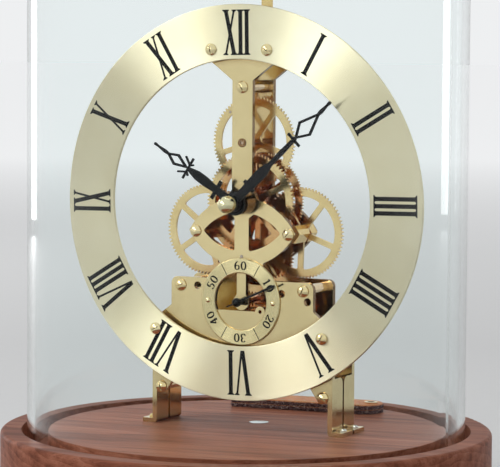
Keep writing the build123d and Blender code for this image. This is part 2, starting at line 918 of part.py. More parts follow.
def chapter_ring_spacers():
    """The four spacers between the chapter ring and the front plate."""
    bore = seat_hole(screw_shank)
    return [tube(place, ring_spacer_radius, bore, ring_back, front_plate_front) for place in ring_screws]


def chapter_ring_screws():
    """The four screws through the chapter ring, its spacers and the front plate."""
    length = front_plate_back - ring_front
    return [
        front_screw(place, ring_front, length, ring_slot_start + ring_slot_step * turn)
        for turn, place in enumerate(ring_screws)
    ]


def pillar_size(place):
    """The radius of the pillar at a place."""
    if place == top_pillar_place:
        return pillar_radius
    return body_pillar_radius if place in both_sides(body_pillar_place) else leg_pillar_radius


def pillars():
    """The five plain pillars between the plates."""
    bore = seat_hole(screw_shank)
    return [
        tube(place, pillar_size(place), bore, front_plate_back, rear_plate_front)
        for place in pillar_places
    ]


def hexagon(place):
    """A hexagon with two flats facing the middle of the dial."""
    return Pos(*place) * RegularPolygon(post_flats / 2, 6, major_radius=False)


def hexagon_post(place, journal_front):
    """A post with a hexagon in front of the wheel and a round journal behind it."""
    shape = slab(hexagon(place) - disc(place, seat_hole(screw_shank)), front_plate_back, journal_front)
    return shape + tube(place, post_journal, seat_hole(screw_shank), journal_front, rear_plate_front)


def wheel_posts():
    """The two posts that the minute wheel and the idler wheel turn on."""
    left_front = hour_wheel_front - pinion_overhang - end_shake
    return [hexagon_post(minute_place, left_front), hexagon_post(idler_place, idler_front - end_shake)]


def post_sleeves():
    """The hexagonal sleeves that keep the two wheels on their posts."""
    shapes = []
    for place, wheel_back in ((minute_place, motion_back), (idler_place, idler_back)):
        ring = hexagon(place) - disc(place, seat_hole(post_journal))
        shapes.append(slab(ring, wheel_back + end_shake, rear_plate_front))
    return shapes


def front_plate_screws():
    """The slotted screws on the front plate."""
    places = pillar_places + [idler_place]
    return [
        front_screw(place, front_plate_front, screw_length, front_slot_start + front_slot_step * turn)
        for turn, place in enumerate(places)
    ]


def rear_screws():
    """The slotted screws that are driven from behind, all with the same head."""
    plate_seats = [(place, rear_plate_back, screw_length) for place in pillar_places + post_places]
    post_back = rear_plate_back + bell_post_thickness
    post_length = bell_post_thickness + plate_thickness
    post_seats = [(place, post_back, post_length) for place in bell_post_places]
    bridge_seats = [(place, bridge_back, screw_length) for place in bridge_posts]
    click_back = ratchet_front + click_thickness
    click_seats = [(click_place, click_back + ratchet_gap, click_back + ratchet_gap - rear_plate_front)]
    click_seats.append((click_spring_place, click_back, click_back - rear_plate_front))
    seats = plate_seats + post_seats + bridge_seats + click_seats
    return [
        rear_screw(place, face, length, rear_slot_start + rear_slot_step * turn)
        for turn, (place, face, length) in enumerate(seats)
    ]


def left_post_nut():
    """The plain domed nut and its stud on the left post."""
    nut = cap(screw_head, screw_head_edge, screw_head_height, 0)
    nut += Pos(0, screw_length / 2, 0) * Rot(90, 0, 0) * Cylinder(screw_shank, screw_length)
    return Pos(minute_place[0], front_plate_front, ring_z + minute_place[1]) * nut


def arbor(place, radius, pivot, shoulders, tips):
    """A turned arbor with its body between the shoulders and a pivot at each tip."""
    return rod(place, radius, *shoulders) + rod(place, pivot, *tips)


plain_shoulders = (arbor_front, arbor_back)
plain_tips = (front_plate_front, rear_plate_back)


def idler_wheel():
    """The large wheel on the right post, between the intermediate wheel and the centre arbor."""
    bore = pivot_hole(post_journal)
    return wheel(
        idler_place, motion_teeth, motion_module, idler_phase, idler_front, idler_back, bore,
        idler_spoke_phase,
    )


def intermediate_arbor():
    """The arbor between the barrel and the idler, with its pinion."""
    shape = arbor(intermediate_place, arbor_radius, pivot_radius, plain_shoulders, plain_tips)
    return shape + pinion(
        intermediate_place, intermediate_pinion_teeth, great_module, intermediate_pinion_phase,
        great_front - pinion_overhang, great_back + pinion_overhang,
    )


def intermediate_wheel():
    """The wheel on the intermediate arbor, in mesh with the idler."""
    return wheel(
        intermediate_place, intermediate_teeth, motion_module, intermediate_phase,
        idler_front, idler_back, seat_hole(arbor_radius), intermediate_spoke_phase,
    )


def centre_arbor():
    """The centre arbor with its pinion, threaded in front for the hand nut."""
    place = centre_place
    shape = rod(place, centre_arbor_radius, nut_ball_middle, centre_pinion_front)
    shape += pinion(
        place, cannon_teeth, motion_module, cannon_phase,
        centre_pinion_front, idler_back + cannon_back_overhang,
    )
    shape += rod(place, centre_body_radius, idler_back, arbor_back)
    return shape + rod(place, pivot_radius, arbor_back, rear_plate_back)


def centre_wheel():
    """The centre wheel, which drives the third pinion."""
    return wheel(
        centre_place, centre_teeth, centre_module, centre_phase, centre_front, centre_back,
        seat_hole(centre_body_radius), centre_spoke_phase,
    )


def cannon_pinion():
    """The cannon pinion with the long tube that carries the minute hand."""
    place = centre_place
    shape = pinion(place, cannon_teeth, motion_module, cannon_phase, cannon_front, cannon_back)
    shape += rod(place, cannon_radius, minute_hand_front, cannon_front)
    return shape - rod(place, seat_hole(centre_arbor_radius), minute_hand_front, cannon_back)


def friction_washer():
    """The washer that lets the hands be set against the centre pinion."""
    bore = seat_hole(centre_arbor_radius)
    return tube(centre_place, friction_washer_radius, bore, cannon_back, centre_pinion_front)


def minute_wheel():
    """The minute wheel on the left post, in one piece with its pinion."""
    bore = pivot_hole(post_journal)
    shape = wheel(
        minute_place, motion_teeth, motion_module, minute_phase, motion_front, motion_back, bore,
        minute_spoke_phase,
    )
    sleeve = pinion(
        minute_place, minute_pinion_teeth, motion_module, minute_pinion_phase,
        hour_wheel_front - pinion_overhang, motion_front,
    )
    return shape + sleeve - rod(minute_place, bore, hour_wheel_front - pinion_overhang, motion_back)


def hour_wheel():
    """The hour wheel with its pipe, which carries the hour hand."""
    place = centre_place
    shape = wheel(
        place, hour_teeth, motion_module, hour_phase, hour_wheel_front, hour_wheel_back,
        pipe_bore, hour_spoke_phase,
    )
    return shape + tube(place, pipe_radius, pipe_bore, hour_hand_front, hour_wheel_front)


strike_pin_places = [
    step(strike_place, strike_pin_circle, strike_pin_phase + 360 * pin / strike_pin_count)
    for pin in range(strike_pin_count)
]


def strike_wheel():
    """The wheel over the hands, which carries the strike pins and turns once in three hours."""
    shape = wheel(
        strike_place, motion_teeth, motion_module, strike_phase, motion_front, motion_back,
        seat_hole(arbor_radius), strike_spoke_phase,
    )
    for place in strike_pin_places:
        shape -= rod(place, seat_hole(strike_pin_radius), motion_front, motion_back)
    return shape


def strike_pins():
    """The three pins that lift the hammer."""
    back = motion_back + strike_pin_length
    return [rod(place, strike_pin_radius, motion_front, back) for place in strike_pin_places]


def strike_arbor():
    """The arbor of the strike wheel."""
    return arbor(strike_place, arbor_radius, pivot_radius, plain_shoulders, plain_tips)


def third_arbor():
    """The third arbor with the pinion that the centre wheel drives."""
    shape = arbor(third_place, arbor_radius, pivot_radius, plain_shoulders, plain_tips)
    return shape + pinion(
        third_place, third_pinion_teeth, centre_module, third_pinion_phase,
        centre_front - pinion_overhang, centre_back + pinion_overhang,
    )


def third_wheel():
    """The third wheel."""
    return wheel(
        third_place, third_teeth, third_module, third_phase, third_front, third_back,
        seat_hole(arbor_radius), third_spoke_phase,
    )


def fourth_arbor():
    """The seconds arbor, which carries a hand in front and the fourth wheel behind."""
    tips = (seconds_hand_front, fourth_wheel_back + pivot_end)
    shape = arbor(fourth_place, arbor_radius, pivot_radius, plain_shoulders, tips)
    return shape + pinion(
        fourth_place, fourth_pinion_teeth, third_module, fourth_pinion_phase,
        third_front - pinion_overhang, third_back + pinion_overhang,
    )


def fourth_wheel():
    """The fourth wheel, behind the rear plate."""
    return wheel(
        fourth_place, fourth_teeth, fourth_module, fourth_phase, fourth_wheel_front,
        fourth_wheel_back, seat_hole(pivot_radius), fourth_spoke_phase,
    )


def escape_arbor():
    """The escape arbor with its pinion."""
    shape = arbor(
        escape_place, fine_arbor_radius, fine_pivot_radius,
        (fine_arbor_front, fine_arbor_back), (rear_plate_front, bridge_back),
    )
    return shape + pinion(
        escape_place, escape_pinion_teeth, fourth_module, escape_pinion_phase,
        fourth_wheel_front - pinion_overhang, fourth_wheel_back + pinion_overhang,
    )


def escape_wheel():
    """The escape wheel, with pointed teeth that lean forward."""
    root = escape_radius - escape_tooth_depth
    pitch = 360 / escape_teeth
    points = []
    for tooth in range(escape_teeth):
        angle = pitch * tooth
        points.append(step((0, 0), escape_radius, angle))
        points.append(step((0, 0), root, angle + pitch * escape_tooth_share))
        points.append(step((0, 0), root, angle + pitch * (1 - escape_tooth_share)))
    blank = Polygon(*points, align=None)
    hub = 2 * fine_arbor_radius
    rim_inner = root - escape_tooth_depth / 2
    corner = escape_tooth_depth / 5
    sketch = spoked(
        blank, rim_inner, hub, fine_arbor_radius, escape_spoke_count, escape_spoke_phase, corner
    )
    sketch -= Circle(seat_hole(fine_arbor_radius))
    return slab(Pos(*escape_place) * sketch, escape_front, escape_back)


def pallet_lever():
    """The pallet lever, whose pallets stand just outside the escape wheel's teeth."""
    towards_wheel = lever_direction
    pallets = [
        step(escape_place, escape_radius + pallet_gap, towards_wheel + side * pallet_span)
        for side in (-1, 1)
    ]
    sketch = disc(lever_place, lever_hub)
    for pallet in pallets:
        sketch += link(lever_place, pallet, lever_arm_width)
    fork_end = step(lever_place, fork_length, balance_direction)
    fork = link(lever_place, fork_end, fork_width)
    slot_middle = step(fork_end, fork_width / 2, balance_direction)
    slot = Pos(*slot_middle) * Rot(0, 0, balance_direction) * Rectangle(2 * fork_slot_depth, fork_slot)
    sketch += fork - slot
    sketch -= disc(lever_place, seat_hole(fine_arbor_radius))
    return slab(sketch, escape_front, escape_back)


def pallet_arbor():
    """The arbor of the pallet lever."""
    return arbor(
        lever_place, fine_arbor_radius, fine_pivot_radius,
        (fine_arbor_front, cock_front - end_shake), (rear_plate_front, cock_back),
    )


def balance_wheel():
    """The balance wheel with two arms."""
    blank = Circle(balance_radius)
    hub = 2 * balance_rim
    inner = balance_radius - balance_rim
    corner = balance_rim / 4
    sketch = spoked(
        blank, inner, hub, balance_spoke, balance_spoke_count, balance_spoke_phase, corner
    )
    sketch -= Circle(seat_hole(staff_radius))
    return slab(Pos(*balance_place) * sketch, balance_front, balance_back)


def balance_staff():
    """The balance staff with its roller, impulse pin and hairspring collet."""
    shape = arbor(
        balance_place, staff_radius, fine_pivot_radius,
        (fine_arbor_front, fine_arbor_back), (rear_plate_front, bridge_back),
    )
    roller_back = cock_back + roller_thickness
    shape += rod(balance_place, roller_radius, cock_back, roller_back)
    pin_place = step(balance_place, impulse_pin_circle, balance_direction + 180)
    shape += rod(pin_place, impulse_pin_radius, escape_back + impulse_pin_gap, cock_back)
    half_collet = hairspring_setback / 2
    collet_ends = (hairspring_depth - half_collet, hairspring_depth + half_collet)
    return shape + rod(balance_place, collet_of_balance, *collet_ends)


def pallet_cock():
    """The small cock that holds the pallet arbor, clamped on the first bridge post."""
    post = bridge_posts[0]
    sketch = link(lever_place, post, 2 * bridge_post_radius)
    sketch -= disc(lever_place, pivot_hole(fine_pivot_radius)) + disc(post, seat_hole(bridge_post_waist))
    return slab(sketch, cock_front, cock_back)


def bridge_pillars():
    """The three posts of the escapement bridge, one with a shoulder for the pallet cock."""
    shapes = []
    for number, place in enumerate(bridge_posts):
        shoulder = bridge_front if number else cock_front
        waist = bridge_post_radius if number else bridge_post_waist
        shape = rod(place, bridge_post_radius, rear_plate_back, shoulder)
        shape += rod(place, screw_shank, rear_plate_front, rear_plate_back)
        if not number:
            shape += rod(place, waist, shoulder, bridge_front)
        hole_front = bridge_front - screw_length
        shapes.append(shape - rod(place, seat_hole(screw_shank), hole_front, bridge_front))
    return shapes


bridge_line = degrees(atan2(
    bridge_posts[1][1] - bridge_posts[0][1], bridge_posts[1][0] - bridge_posts[0][0]
))


def spiral_reach(turn):
    """How far the hairspring's path stands from the balance staff after some half turns."""
    return (-1) ** turn * (hairspring_start + turn * hairspring_pitch / 2)


def hairspring_path():
    """The spiral as half turns about two centres, with a straight end towards the stud."""
    edges = []
    for turn in range(hairspring_half_turns):
        start = spiral_reach(turn)
        end = spiral_reach(turn + 1)
        middle = (start + end) / 2
        crest = abs(start - end) / 2 * (-1) ** turn
        edges.append(ThreePointArc((start, 0), (middle, crest), (end, 0)).edge())
    last = spiral_reach(hairspring_half_turns)
    run = hairspring_end_run * (-1) ** hairspring_half_turns
    edges.append(Line((last, 0), (last, run)).edge())
    return Wire(edges)


def hairspring_place():
    """The location of the spiral's plane, in line with the bridge."""
    x, z = balance_place
    return Pos(x, hairspring_depth, ring_z + z) * Plane.XZ.location * Rot(0, 0, bridge_line)


def hairspring():
    """The hairspring as one unbroken tube."""
    path = hairspring_path()
    section = Plane((hairspring_start, 0, 0), z_dir=(0, 1, 0)) * Circle(hairspring_wire)
    return hairspring_place() * sweep(section, path)


def hairspring_least_gap():
    """The least gap between neighbouring turns, measured on points along the path."""
    path = hairspring_path()
    count = hairspring_samples * hairspring_half_turns
    points = [path.position_at(number / count) for number in range(count + 1)]
    least = hairspring_pitch * hairspring_half_turns
    for first in range(count):
        for second in range(first + hairspring_samples // 2, count + 1):
            least = min(least, (points[first] - points[second]).length)
    return least - 2 * hairspring_wire


def escapement_bridge():
    """The bridge that holds the escape arbor and the balance staff, with the hairspring stud."""
    first, second, third = bridge_posts
    sketch = link(first, second, bridge_width) + link(third, escape_place, bridge_width)
    sketch += link(escape_place, balance_place, bridge_width)
    sketch = pierced(sketch, bridge_posts, seat_hole(screw_shank))
    sketch = pierced(sketch, [escape_place, balance_place], pivot_hole(fine_pivot_radius))
    shape = slab(sketch, bridge_front, bridge_back)
    last = spiral_reach(hairspring_half_turns)
    side = (-1) ** hairspring_half_turns
    stud_middle = side * (hairspring_end_run + stud_size / 2)
    stud_length = bridge_front - hairspring_depth + stud_size / 2
    stud = Box(stud_size, stud_size, stud_length)
    stud = Pos(last, stud_middle, (stud_size - stud_length) / 2) * stud
    return shape + hairspring_place() * stud


def barrel():
    """The barrel, in one piece with the great wheel."""
    floor = gear_sketch(great_teeth, great_module, wheel_addendum, great_phase)
    floor -= Circle(pivot_hole(barrel_arbor_radius))
    shape = slab(Pos(*barrel_place) * floor, great_front, great_back)
    wall_front = barrel_front + barrel_cover_thickness
    return shape + tube(barrel_place, barrel_radius, barrel_radius - barrel_wall, wall_front, great_front)


def barrel_cover():
    """The snap-on cover in front of the barrel."""
    bore = pivot_hole(barrel_arbor_radius)
    back = barrel_front + barrel_cover_thickness
    return tube(barrel_place, barrel_radius, bore, barrel_front, back)


def mainspring():
    """The coiled mainspring as one ring against the barrel's wall."""
    outer = barrel_radius - barrel_wall - barrel_inner_gap
    front = barrel_front + barrel_cover_thickness + barrel_inner_gap
    return tube(barrel_place, outer, outer - mainspring_wall, front, great_front - barrel_inner_gap)


def winding_arbor():
    """The winding arbor, with the core for the mainspring and the square for the key."""
    place = barrel_place
    shape = arbor(
        place, barrel_arbor_radius, barrel_pivot_radius, plain_shoulders,
        (front_plate_front, ratchet_front),
    )
    core_front = barrel_front + barrel_cover_thickness + barrel_inner_gap
    shape += rod(place, barrel_core_radius, core_front, great_front - barrel_inner_gap)
    square = Pos(*place) * Rectangle(winding_square, winding_square)
    return shape + slab(square, ratchet_front, ratchet_back + winding_square_length)


def ratchet_wheel():
    """The ratchet wheel on the winding square, with saw teeth."""
    pitch = 360 / ratchet_teeth
    points = []
    for tooth in range(ratchet_teeth):
        points.append(step(barrel_place, ratchet_radius, pitch * tooth))
        drop = pitch * (tooth + ratchet_drop_share)
        points.append(step(barrel_place, ratchet_radius - ratchet_tooth_depth, drop))
    blank = Polygon(*points, align=None)
    hole = winding_square + 2 * seat_clearance
    sketch = blank - Pos(*barrel_place) * Rectangle(hole, hole)
    return slab(sketch, ratchet_front, ratchet_back)


def click():
    """The click, which rides just over the ratchet's teeth."""
    sketch = disc(click_place, click_boss) + link(click_place, click_nose, click_width)
    sketch -= disc(click_place, pivot_hole(screw_shank))
    return slab(sketch, ratchet_front, ratchet_front + click_thickness)


def click_spring():
    """The leaf spring over the click, with a round boss under its screw."""
    sketch = link(click_spring_tip, click_spring_place, click_spring_width)
    sketch += disc(click_spring_place, click_spring_boss)
    sketch -= disc(click_spring_place, seat_hole(screw_shank))
    return slab(sketch, rear_plate_back, ratchet_front + click_thickness)


def bell_post():
    """The strip on the rear plate that carries the bell on its bent top."""
    back = rear_plate_back + bell_post_thickness
    strip = column(bell_post_half_width, bell_post_bottom, bell_crown)
    strip = pierced(strip, bell_post_places, seat_hole(screw_shank))
    tab_front = bell_depth - bell_post_half_width
    tab = column(bell_post_half_width, bell_crown - bell_post_thickness, bell_crown)
    shape = slab(strip, rear_plate_back, back) + slab(tab, tab_front, back)
    hole = Pos(0, bell_depth, ring_z + bell_crown) * Cylinder(seat_hole(bell_stud_radius), bell_height)
    return shape - hole


def bell():
    """The bell, a thin bowl with a flat crown and its mouth down."""
    squares = bell_radius ** 2 - bell_crown_radius ** 2 - bell_height ** 2
    sink = squares / (2 * bell_height)
    sphere = hypot(bell_radius, sink)
    rim = ring_z + bell_rim

    def bowl(radius, height):
        slice_of = Pos(0, bell_depth, rim + height / 2) * Cylinder(2 * radius, height)
        return Pos(0, bell_depth, rim - sink) * Sphere(radius) & slice_of

    shape = bowl(sphere, bell_height) - bowl(sphere - bell_wall, bell_height - bell_wall)
    hole = Cylinder(seat_hole(bell_stud_radius), 4 * bell_wall)
    return shape - Pos(0, bell_depth, rim + bell_height) * hole


def bell_nut():
    """The domed nut and stud that hold the bell."""
    stud_length = bell_nut_height / 2 + bell_wall + bell_post_thickness
    nut = cap(bell_nut_radius, bell_nut_height / 3, bell_nut_height, 0)
    nut += Pos(0, stud_length / 2, 0) * Rot(90, 0, 0) * Cylinder(bell_stud_radius, stud_length)
    return Pos(0, bell_depth, ring_z + bell_rim + bell_height) * upright(nut)


def hammer():
    """The hammer, with its tail over the strike pins and its arm behind the bell post."""
    width = 2 * hammer_rod
    tail_height = strike_place[1] + strike_pin_circle + strike_pin_radius
    tail_end = (hammer_place[0], tail_height + hammer_tail_clearance + hammer_rod)
    tail_front = motion_back + strike_pin_length / 2
    shape = slab(link(hammer_place, tail_end, width), tail_front, tail_front + strike_pin_length / 2)
    shape += rod(hammer_place, hammer_boss_radius, tail_front, arbor_back)
    arm_front = rear_plate_back + bell_post_thickness + screw_head_height + hammer_arm_gap
    arm_back = arm_front + width
    head_depth = (arm_front + arm_back) / 2
    head_side = head_depth - bell_depth - hammer_head_radius
    head_middle = sqrt(bell_radius ** 2 - head_side ** 2) + hammer_gap + hammer_head_length / 2
    head_height = bell_rim + hammer_head_radius
    neck = (hammer_knee[0], hammer_neck_height)
    turns = [hammer_place, hammer_knee, neck, (head_middle, neck[1]), (head_middle, head_height)]
    for first, second in zip(turns, turns[1:]):
        shape += slab(link(first, second, width), arm_front, arm_back)
    head = Rot(0, 90, 0) * Cylinder(hammer_head_radius, hammer_head_length)
    shape += Pos(head_middle, head_depth, ring_z + head_height) * head
    shape += rod(hammer_place, hammer_boss_radius, rear_plate_back + end_shake, arm_back)
    shape += rod(hammer_place, arbor_radius, arbor_front, arm_back)
    return shape + rod(hammer_place, pivot_radius, front_plate_front, arm_back)


def hand(sketch, angle, front, back):
    """A hand drawn upright, turned clockwise on its arbor at the middle of the dial."""
    return slab(Rot(0, 0, -angle) * sketch, front, back)


def diamond(low, wide, top, half_width):
    """The open diamond near a hand's tip, drawn as a line of even width."""
    outer = symmetric([(diamond_point, top), (half_width, wide), (diamond_point, low)])
    inner_top = top - diamond_line * hypot(half_width, top - wide) / half_width
    inner_low = low + diamond_line * hypot(half_width, wide - low) / half_width
    inner_half_width = half_width - diamond_side_line
    return outer - symmetric([
        (diamond_point, inner_top), (inner_half_width, wide), (diamond_point, inner_low),
    ])


def cross_bar(height, reach, width):
    """A bar across a hand."""
    return Pos(0, height) * Rectangle(2 * reach, width)


def both(shape):
    """A sketch and its mirror image in the hand's middle line."""
    return shape + mirror(shape, about=Plane.YZ)


def hand_sketch(length, blade, tip, open_diamond, cross_bars):
    """The parts that both large hands share."""
    sketch = symmetric(blade) + symmetric([(hand_point, length), *tip]) + diamond(*open_diamond)
    for bar in cross_bars:
        sketch += cross_bar(*bar)
    return sketch


def hour_hand():
    """The hour hand, with its ridged collet on the hour pipe."""
    sketch = hand_sketch(hour_hand_length, hour_blade, hour_tip, hour_diamond, hour_cross_bars)
    for barb in hour_barbs:
        sketch += both(link(*barb, hour_barb_width))
    sketch += Circle(hour_disc_radius)
    sketch -= Circle(seat_hole(pipe_radius))
    shape = hand(sketch, hour_hand_angle, hour_hand_front, hour_hand_back)
    ridge = (hub_bush_front - hour_hand_back - pivot_end) / (2 * collet_ridges)
    for number in range(2 * collet_ridges):
        front = hour_hand_back + number * ridge
        radius = collet_radius - collet_groove * (number % 2)
        shape += tube(centre_place, radius, seat_hole(pipe_radius), front, front + ridge)
    return shape


def minute_hand():
    """The minute hand, with its collet on the cannon pinion."""
    bore = seat_hole(cannon_radius)
    sketch = hand_sketch(
        minute_hand_length, minute_blade, minute_tip, minute_diamond, minute_cross_bars
    )
    sketch += Circle(minute_collet_radius)
    sketch -= Circle(bore)
    shape = hand(sketch, minute_hand_angle, minute_hand_front, minute_hand_back)
    collet_back = hour_hand_front - pivot_end
    return shape + tube(centre_place, minute_collet_radius, bore, minute_hand_back, collet_back)


def hand_nut():
    """The ball nut with its knurled collar, in front of the minute hand."""
    ball = Pos(0, nut_ball_middle, ring_z) * Rot(90, 0, 0) * Sphere(nut_ball_radius)
    ball_front = nut_ball_middle - nut_ball_radius
    nut = ball & rod(centre_place, 2 * nut_ball_radius, ball_front, nut_face)
    collar = Circle(nut_collar_radius)
    for notch in range(knurl_count):
        turn = 360 * notch / knurl_count
        collar -= Rot(0, 0, turn) * Pos(nut_collar_radius, 0) * Rot(0, 0, 45) * Rectangle(
            2 * knurl_depth, 2 * knurl_depth
        )
    nut += slab(collar, nut_face, minute_hand_front)
    return nut - rod(centre_place, seat_hole(centre_arbor_radius), nut_ball_middle, minute_hand_front)


def seconds_hand():
    """The seconds hand, with a ball hub, a pipe and a short straight tail."""
    bore = seat_hole(pivot_radius)
    middle = (seconds_hand_front + seconds_hand_back) / 2
    pipe_back = front_plate_front - seconds_pipe_gap
    ball = Rot(90, 0, 0) * Sphere(seconds_ball_radius)
    hub = Pos(fourth_place[0], middle, ring_z + fourth_place[1]) * ball
    hub += rod(fourth_place, seconds_pipe_radius, middle, pipe_back)
    hub -= rod(fourth_place, bore, seconds_hand_front, pipe_back)
    needle = symmetric([
        (seconds_tip_half_width, seconds_hand_length),
        (seconds_wide_half_width, seconds_wide_place),
        (seconds_tail_half_width, -seconds_tail),
    ])
    sketch = Rot(0, 0, -seconds_hand_angle) * needle - Circle(bore)
    return hub + slab(Pos(*fourth_place) * sketch, seconds_hand_front, seconds_hand_back)


def tag_place():
    """Where the leather tag lies on the base."""
    return Pos(tag_middle_x, plateau_radius - tag_inset, base_top) * Rot(0, 0, tag_turn)


def key_tag():
    """The leather tag, with a round right end and a hole for its eyelet."""
    sketch = RectangleRounded(tag_length, tag_width, tag_round)
    right_end = tag_length / 2 - tag_width / 2
    square_end = Pos(right_end + tag_width / 4, 0) * Rectangle(tag_width / 2, tag_width)
    sketch = sketch - square_end + Pos(right_end, 0) * Circle(tag_width / 2)
    sketch -= Pos(tag_length / 2 - eyelet_inset, 0) * Circle(seat_hole(eyelet_radius))
    return tag_place() * extrude(sketch, amount=tag_height)


def key_tag_eyelet():
    """The brass eyelet of the tag."""
    ring = Circle(eyelet_radius) - Circle(eyelet_hole)
    shape = extrude(Pos(tag_length / 2 - eyelet_inset, 0) * ring, amount=tag_height + eyelet_proud)
    return tag_place() * shape


# Every node by its name, with the groups of separate solids as lists
nodes = {
    "base": base(),
    "foot_pads": foot_pads(),
    "base_screw": base_screw(),
    "glass_dome": glass_dome(),
    "front_plate": front_plate(),
    "rear_plate": rear_plate(),
    "plate_bushes": plate_bushes(),
    "chapter_ring": chapter_ring(),
    "chapter_ring_spacers": chapter_ring_spacers(),
    "chapter_ring_screws": chapter_ring_screws(),
    "seconds_dial": seconds_dial(),
    "seconds_dial_screws": seconds_dial_screws(),
    "pillars": pillars(),
    "wheel_posts": wheel_posts(),
    "post_sleeves": post_sleeves(),
    "front_plate_screws": front_plate_screws(),
    "rear_screws": rear_screws(),
    "left_post_nut": left_post_nut(),
    "foot_screws": foot_screws(),
    "bell_post": bell_post(),
    "bell": bell(),
    "bell_nut": bell_nut(),
    "hammer": hammer(),
    "barrel": barrel(),
    "barrel_cover": barrel_cover(),
    "mainspring": mainspring(),
    "winding_arbor": winding_arbor(),
    "ratchet_wheel": ratchet_wheel(),
    "click": click(),
    "click_spring": click_spring(),
    "intermediate_arbor": intermediate_arbor(),
    "intermediate_wheel": intermediate_wheel(),
    "idler_wheel": idler_wheel(),
    "centre_arbor": centre_arbor(),
    "centre_wheel": centre_wheel(),
    "cannon_pinion": cannon_pinion(),
    "friction_washer": friction_washer(),
    "minute_wheel": minute_wheel(),
    "hour_wheel": hour_wheel(),
    "strike_wheel": strike_wheel(),
    "strike_pins": strike_pins(),
    "strike_arbor": strike_arbor(),
    "third_arbor": third_arbor(),
    "third_wheel": third_wheel(),
    "fourth_arbor": fourth_arbor(),
    "fourth_wheel": fourth_wheel(),
    "escape_arbor": escape_arbor(),
    "escape_wheel": escape_wheel(),
    "pallet_lever": [pallet_lever(), pallet_arbor()],
    "pallet_cock": pallet_cock(),
    "escapement_bridge": escapement_bridge(),
    "bridge_pillars": bridge_pillars(),
    "hairspring": hairspring(),
    "balance": [balance_wheel(), balance_staff()],
    "hour_hand": hour_hand(),
    "minute_hand": minute_hand(),
    "hand_nut": hand_nut(),
    "seconds_hand": seconds_hand(),
    "key_tag": key_tag(),
    "key_tag_eyelet": key_tag_eyelet(),
}

os.makedirs("parts", exist_ok=True)
for name, shape in nodes.items():
    solids = shape if isinstance(shape, list) else [shape]
    export_step(Compound(children=solids) if len(solids) > 1 else solids[0], f"parts/{name}.step")
print("hairspring least gap", round(hairspring_least_gap(), 3))
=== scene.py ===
from math import cos, hypot, pi, radians, sin

import bmesh
import bpy
from mathutils import Matrix, Vector


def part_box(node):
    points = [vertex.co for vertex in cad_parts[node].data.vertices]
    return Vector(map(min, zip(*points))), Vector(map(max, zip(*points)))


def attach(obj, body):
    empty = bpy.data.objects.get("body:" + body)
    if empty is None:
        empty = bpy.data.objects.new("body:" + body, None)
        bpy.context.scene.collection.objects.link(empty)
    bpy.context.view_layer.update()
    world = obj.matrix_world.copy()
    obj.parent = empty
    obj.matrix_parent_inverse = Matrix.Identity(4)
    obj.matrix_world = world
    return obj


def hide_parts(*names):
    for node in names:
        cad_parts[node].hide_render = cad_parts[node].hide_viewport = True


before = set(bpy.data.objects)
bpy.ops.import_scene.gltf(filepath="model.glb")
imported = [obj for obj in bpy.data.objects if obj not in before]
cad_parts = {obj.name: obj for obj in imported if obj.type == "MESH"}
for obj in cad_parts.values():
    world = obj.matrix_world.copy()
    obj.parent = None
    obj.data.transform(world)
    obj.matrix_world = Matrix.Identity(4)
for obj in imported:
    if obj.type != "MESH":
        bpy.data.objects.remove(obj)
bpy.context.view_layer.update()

MM = 0.001

# Camera at the photograph's angle, in millimetres, degrees and pixels
CAMERA_PLACE = (419.73, -819.23, 168.18)
CAMERA_YAW = 27.07
CAMERA_PITCH = -4.39
CAMERA_ROLL = 0.36
FOCAL_PIXELS = 2598.77
FRAME_WIDTH = 500
SENSOR = 36.0
CLIP_START = 0.05
CLIP_END = 60.0

# Places read from the frame
ring_low, ring_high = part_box("chapter_ring")
RING_MIDDLE = (ring_low + ring_high) / 2
RING_FACE = ring_low.y
dial_low, dial_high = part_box("seconds_dial")
DIAL_FACE = dial_low.y
DIAL_MIDDLE = Vector((0.0, DIAL_FACE, (dial_low.z + dial_high.z) / 2))
BASE_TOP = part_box("base")[1].z
PLATE_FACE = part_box("front_plate")[0].y
strike_low, strike_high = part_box("strike_arbor")
STRIKE_PIVOT = ((strike_low.x + strike_high.x) / 2, PLATE_FACE, (strike_low.z + strike_high.z) / 2)

# Light and deep colour of each metal
PLATE_BRASS = ((0.780, 0.630, 0.345), (0.690, 0.545, 0.285))
GILT_BRASS = ((0.780, 0.590, 0.270), (0.700, 0.500, 0.210))
PILLAR_BRASS = ((0.800, 0.610, 0.400), (0.720, 0.520, 0.320))
BUSH_BRONZE = ((0.300, 0.170, 0.080), (0.200, 0.110, 0.050))
SCREW_BRASS = ((0.880, 0.740, 0.440), (0.800, 0.620, 0.310))
RING_BRASS = ((0.840, 0.765, 0.550), (0.760, 0.675, 0.455))
DIAL_BRASS = ((0.720, 0.610, 0.345), (0.670, 0.555, 0.300))
WHEEL_BRASS = ((0.740, 0.590, 0.310), (0.680, 0.520, 0.250))
ARBOR_STEEL = ((0.50, 0.44, 0.36), (0.40, 0.34, 0.27))
SCREW_STEEL = ((0.75, 0.75, 0.75), (0.62, 0.62, 0.63))
BLUED_STEEL = ((0.12, 0.18, 0.36), (0.07, 0.11, 0.26))
COLLET_BRONZE = ((0.240, 0.130, 0.055), (0.192, 0.104, 0.044))
NUT_BRASS = ((0.800, 0.720, 0.460), (0.640, 0.576, 0.368))

# Brass of the left foot's screws, steel of the right foot's, and the dirt on both
FOOT_SCREW_BRASS = (0.80, 0.62, 0.30)
FOOT_SCREW_STEEL = (0.70, 0.70, 0.69)
FOOT_SCREW_DIRT = (0.35, 0.28, 0.18)

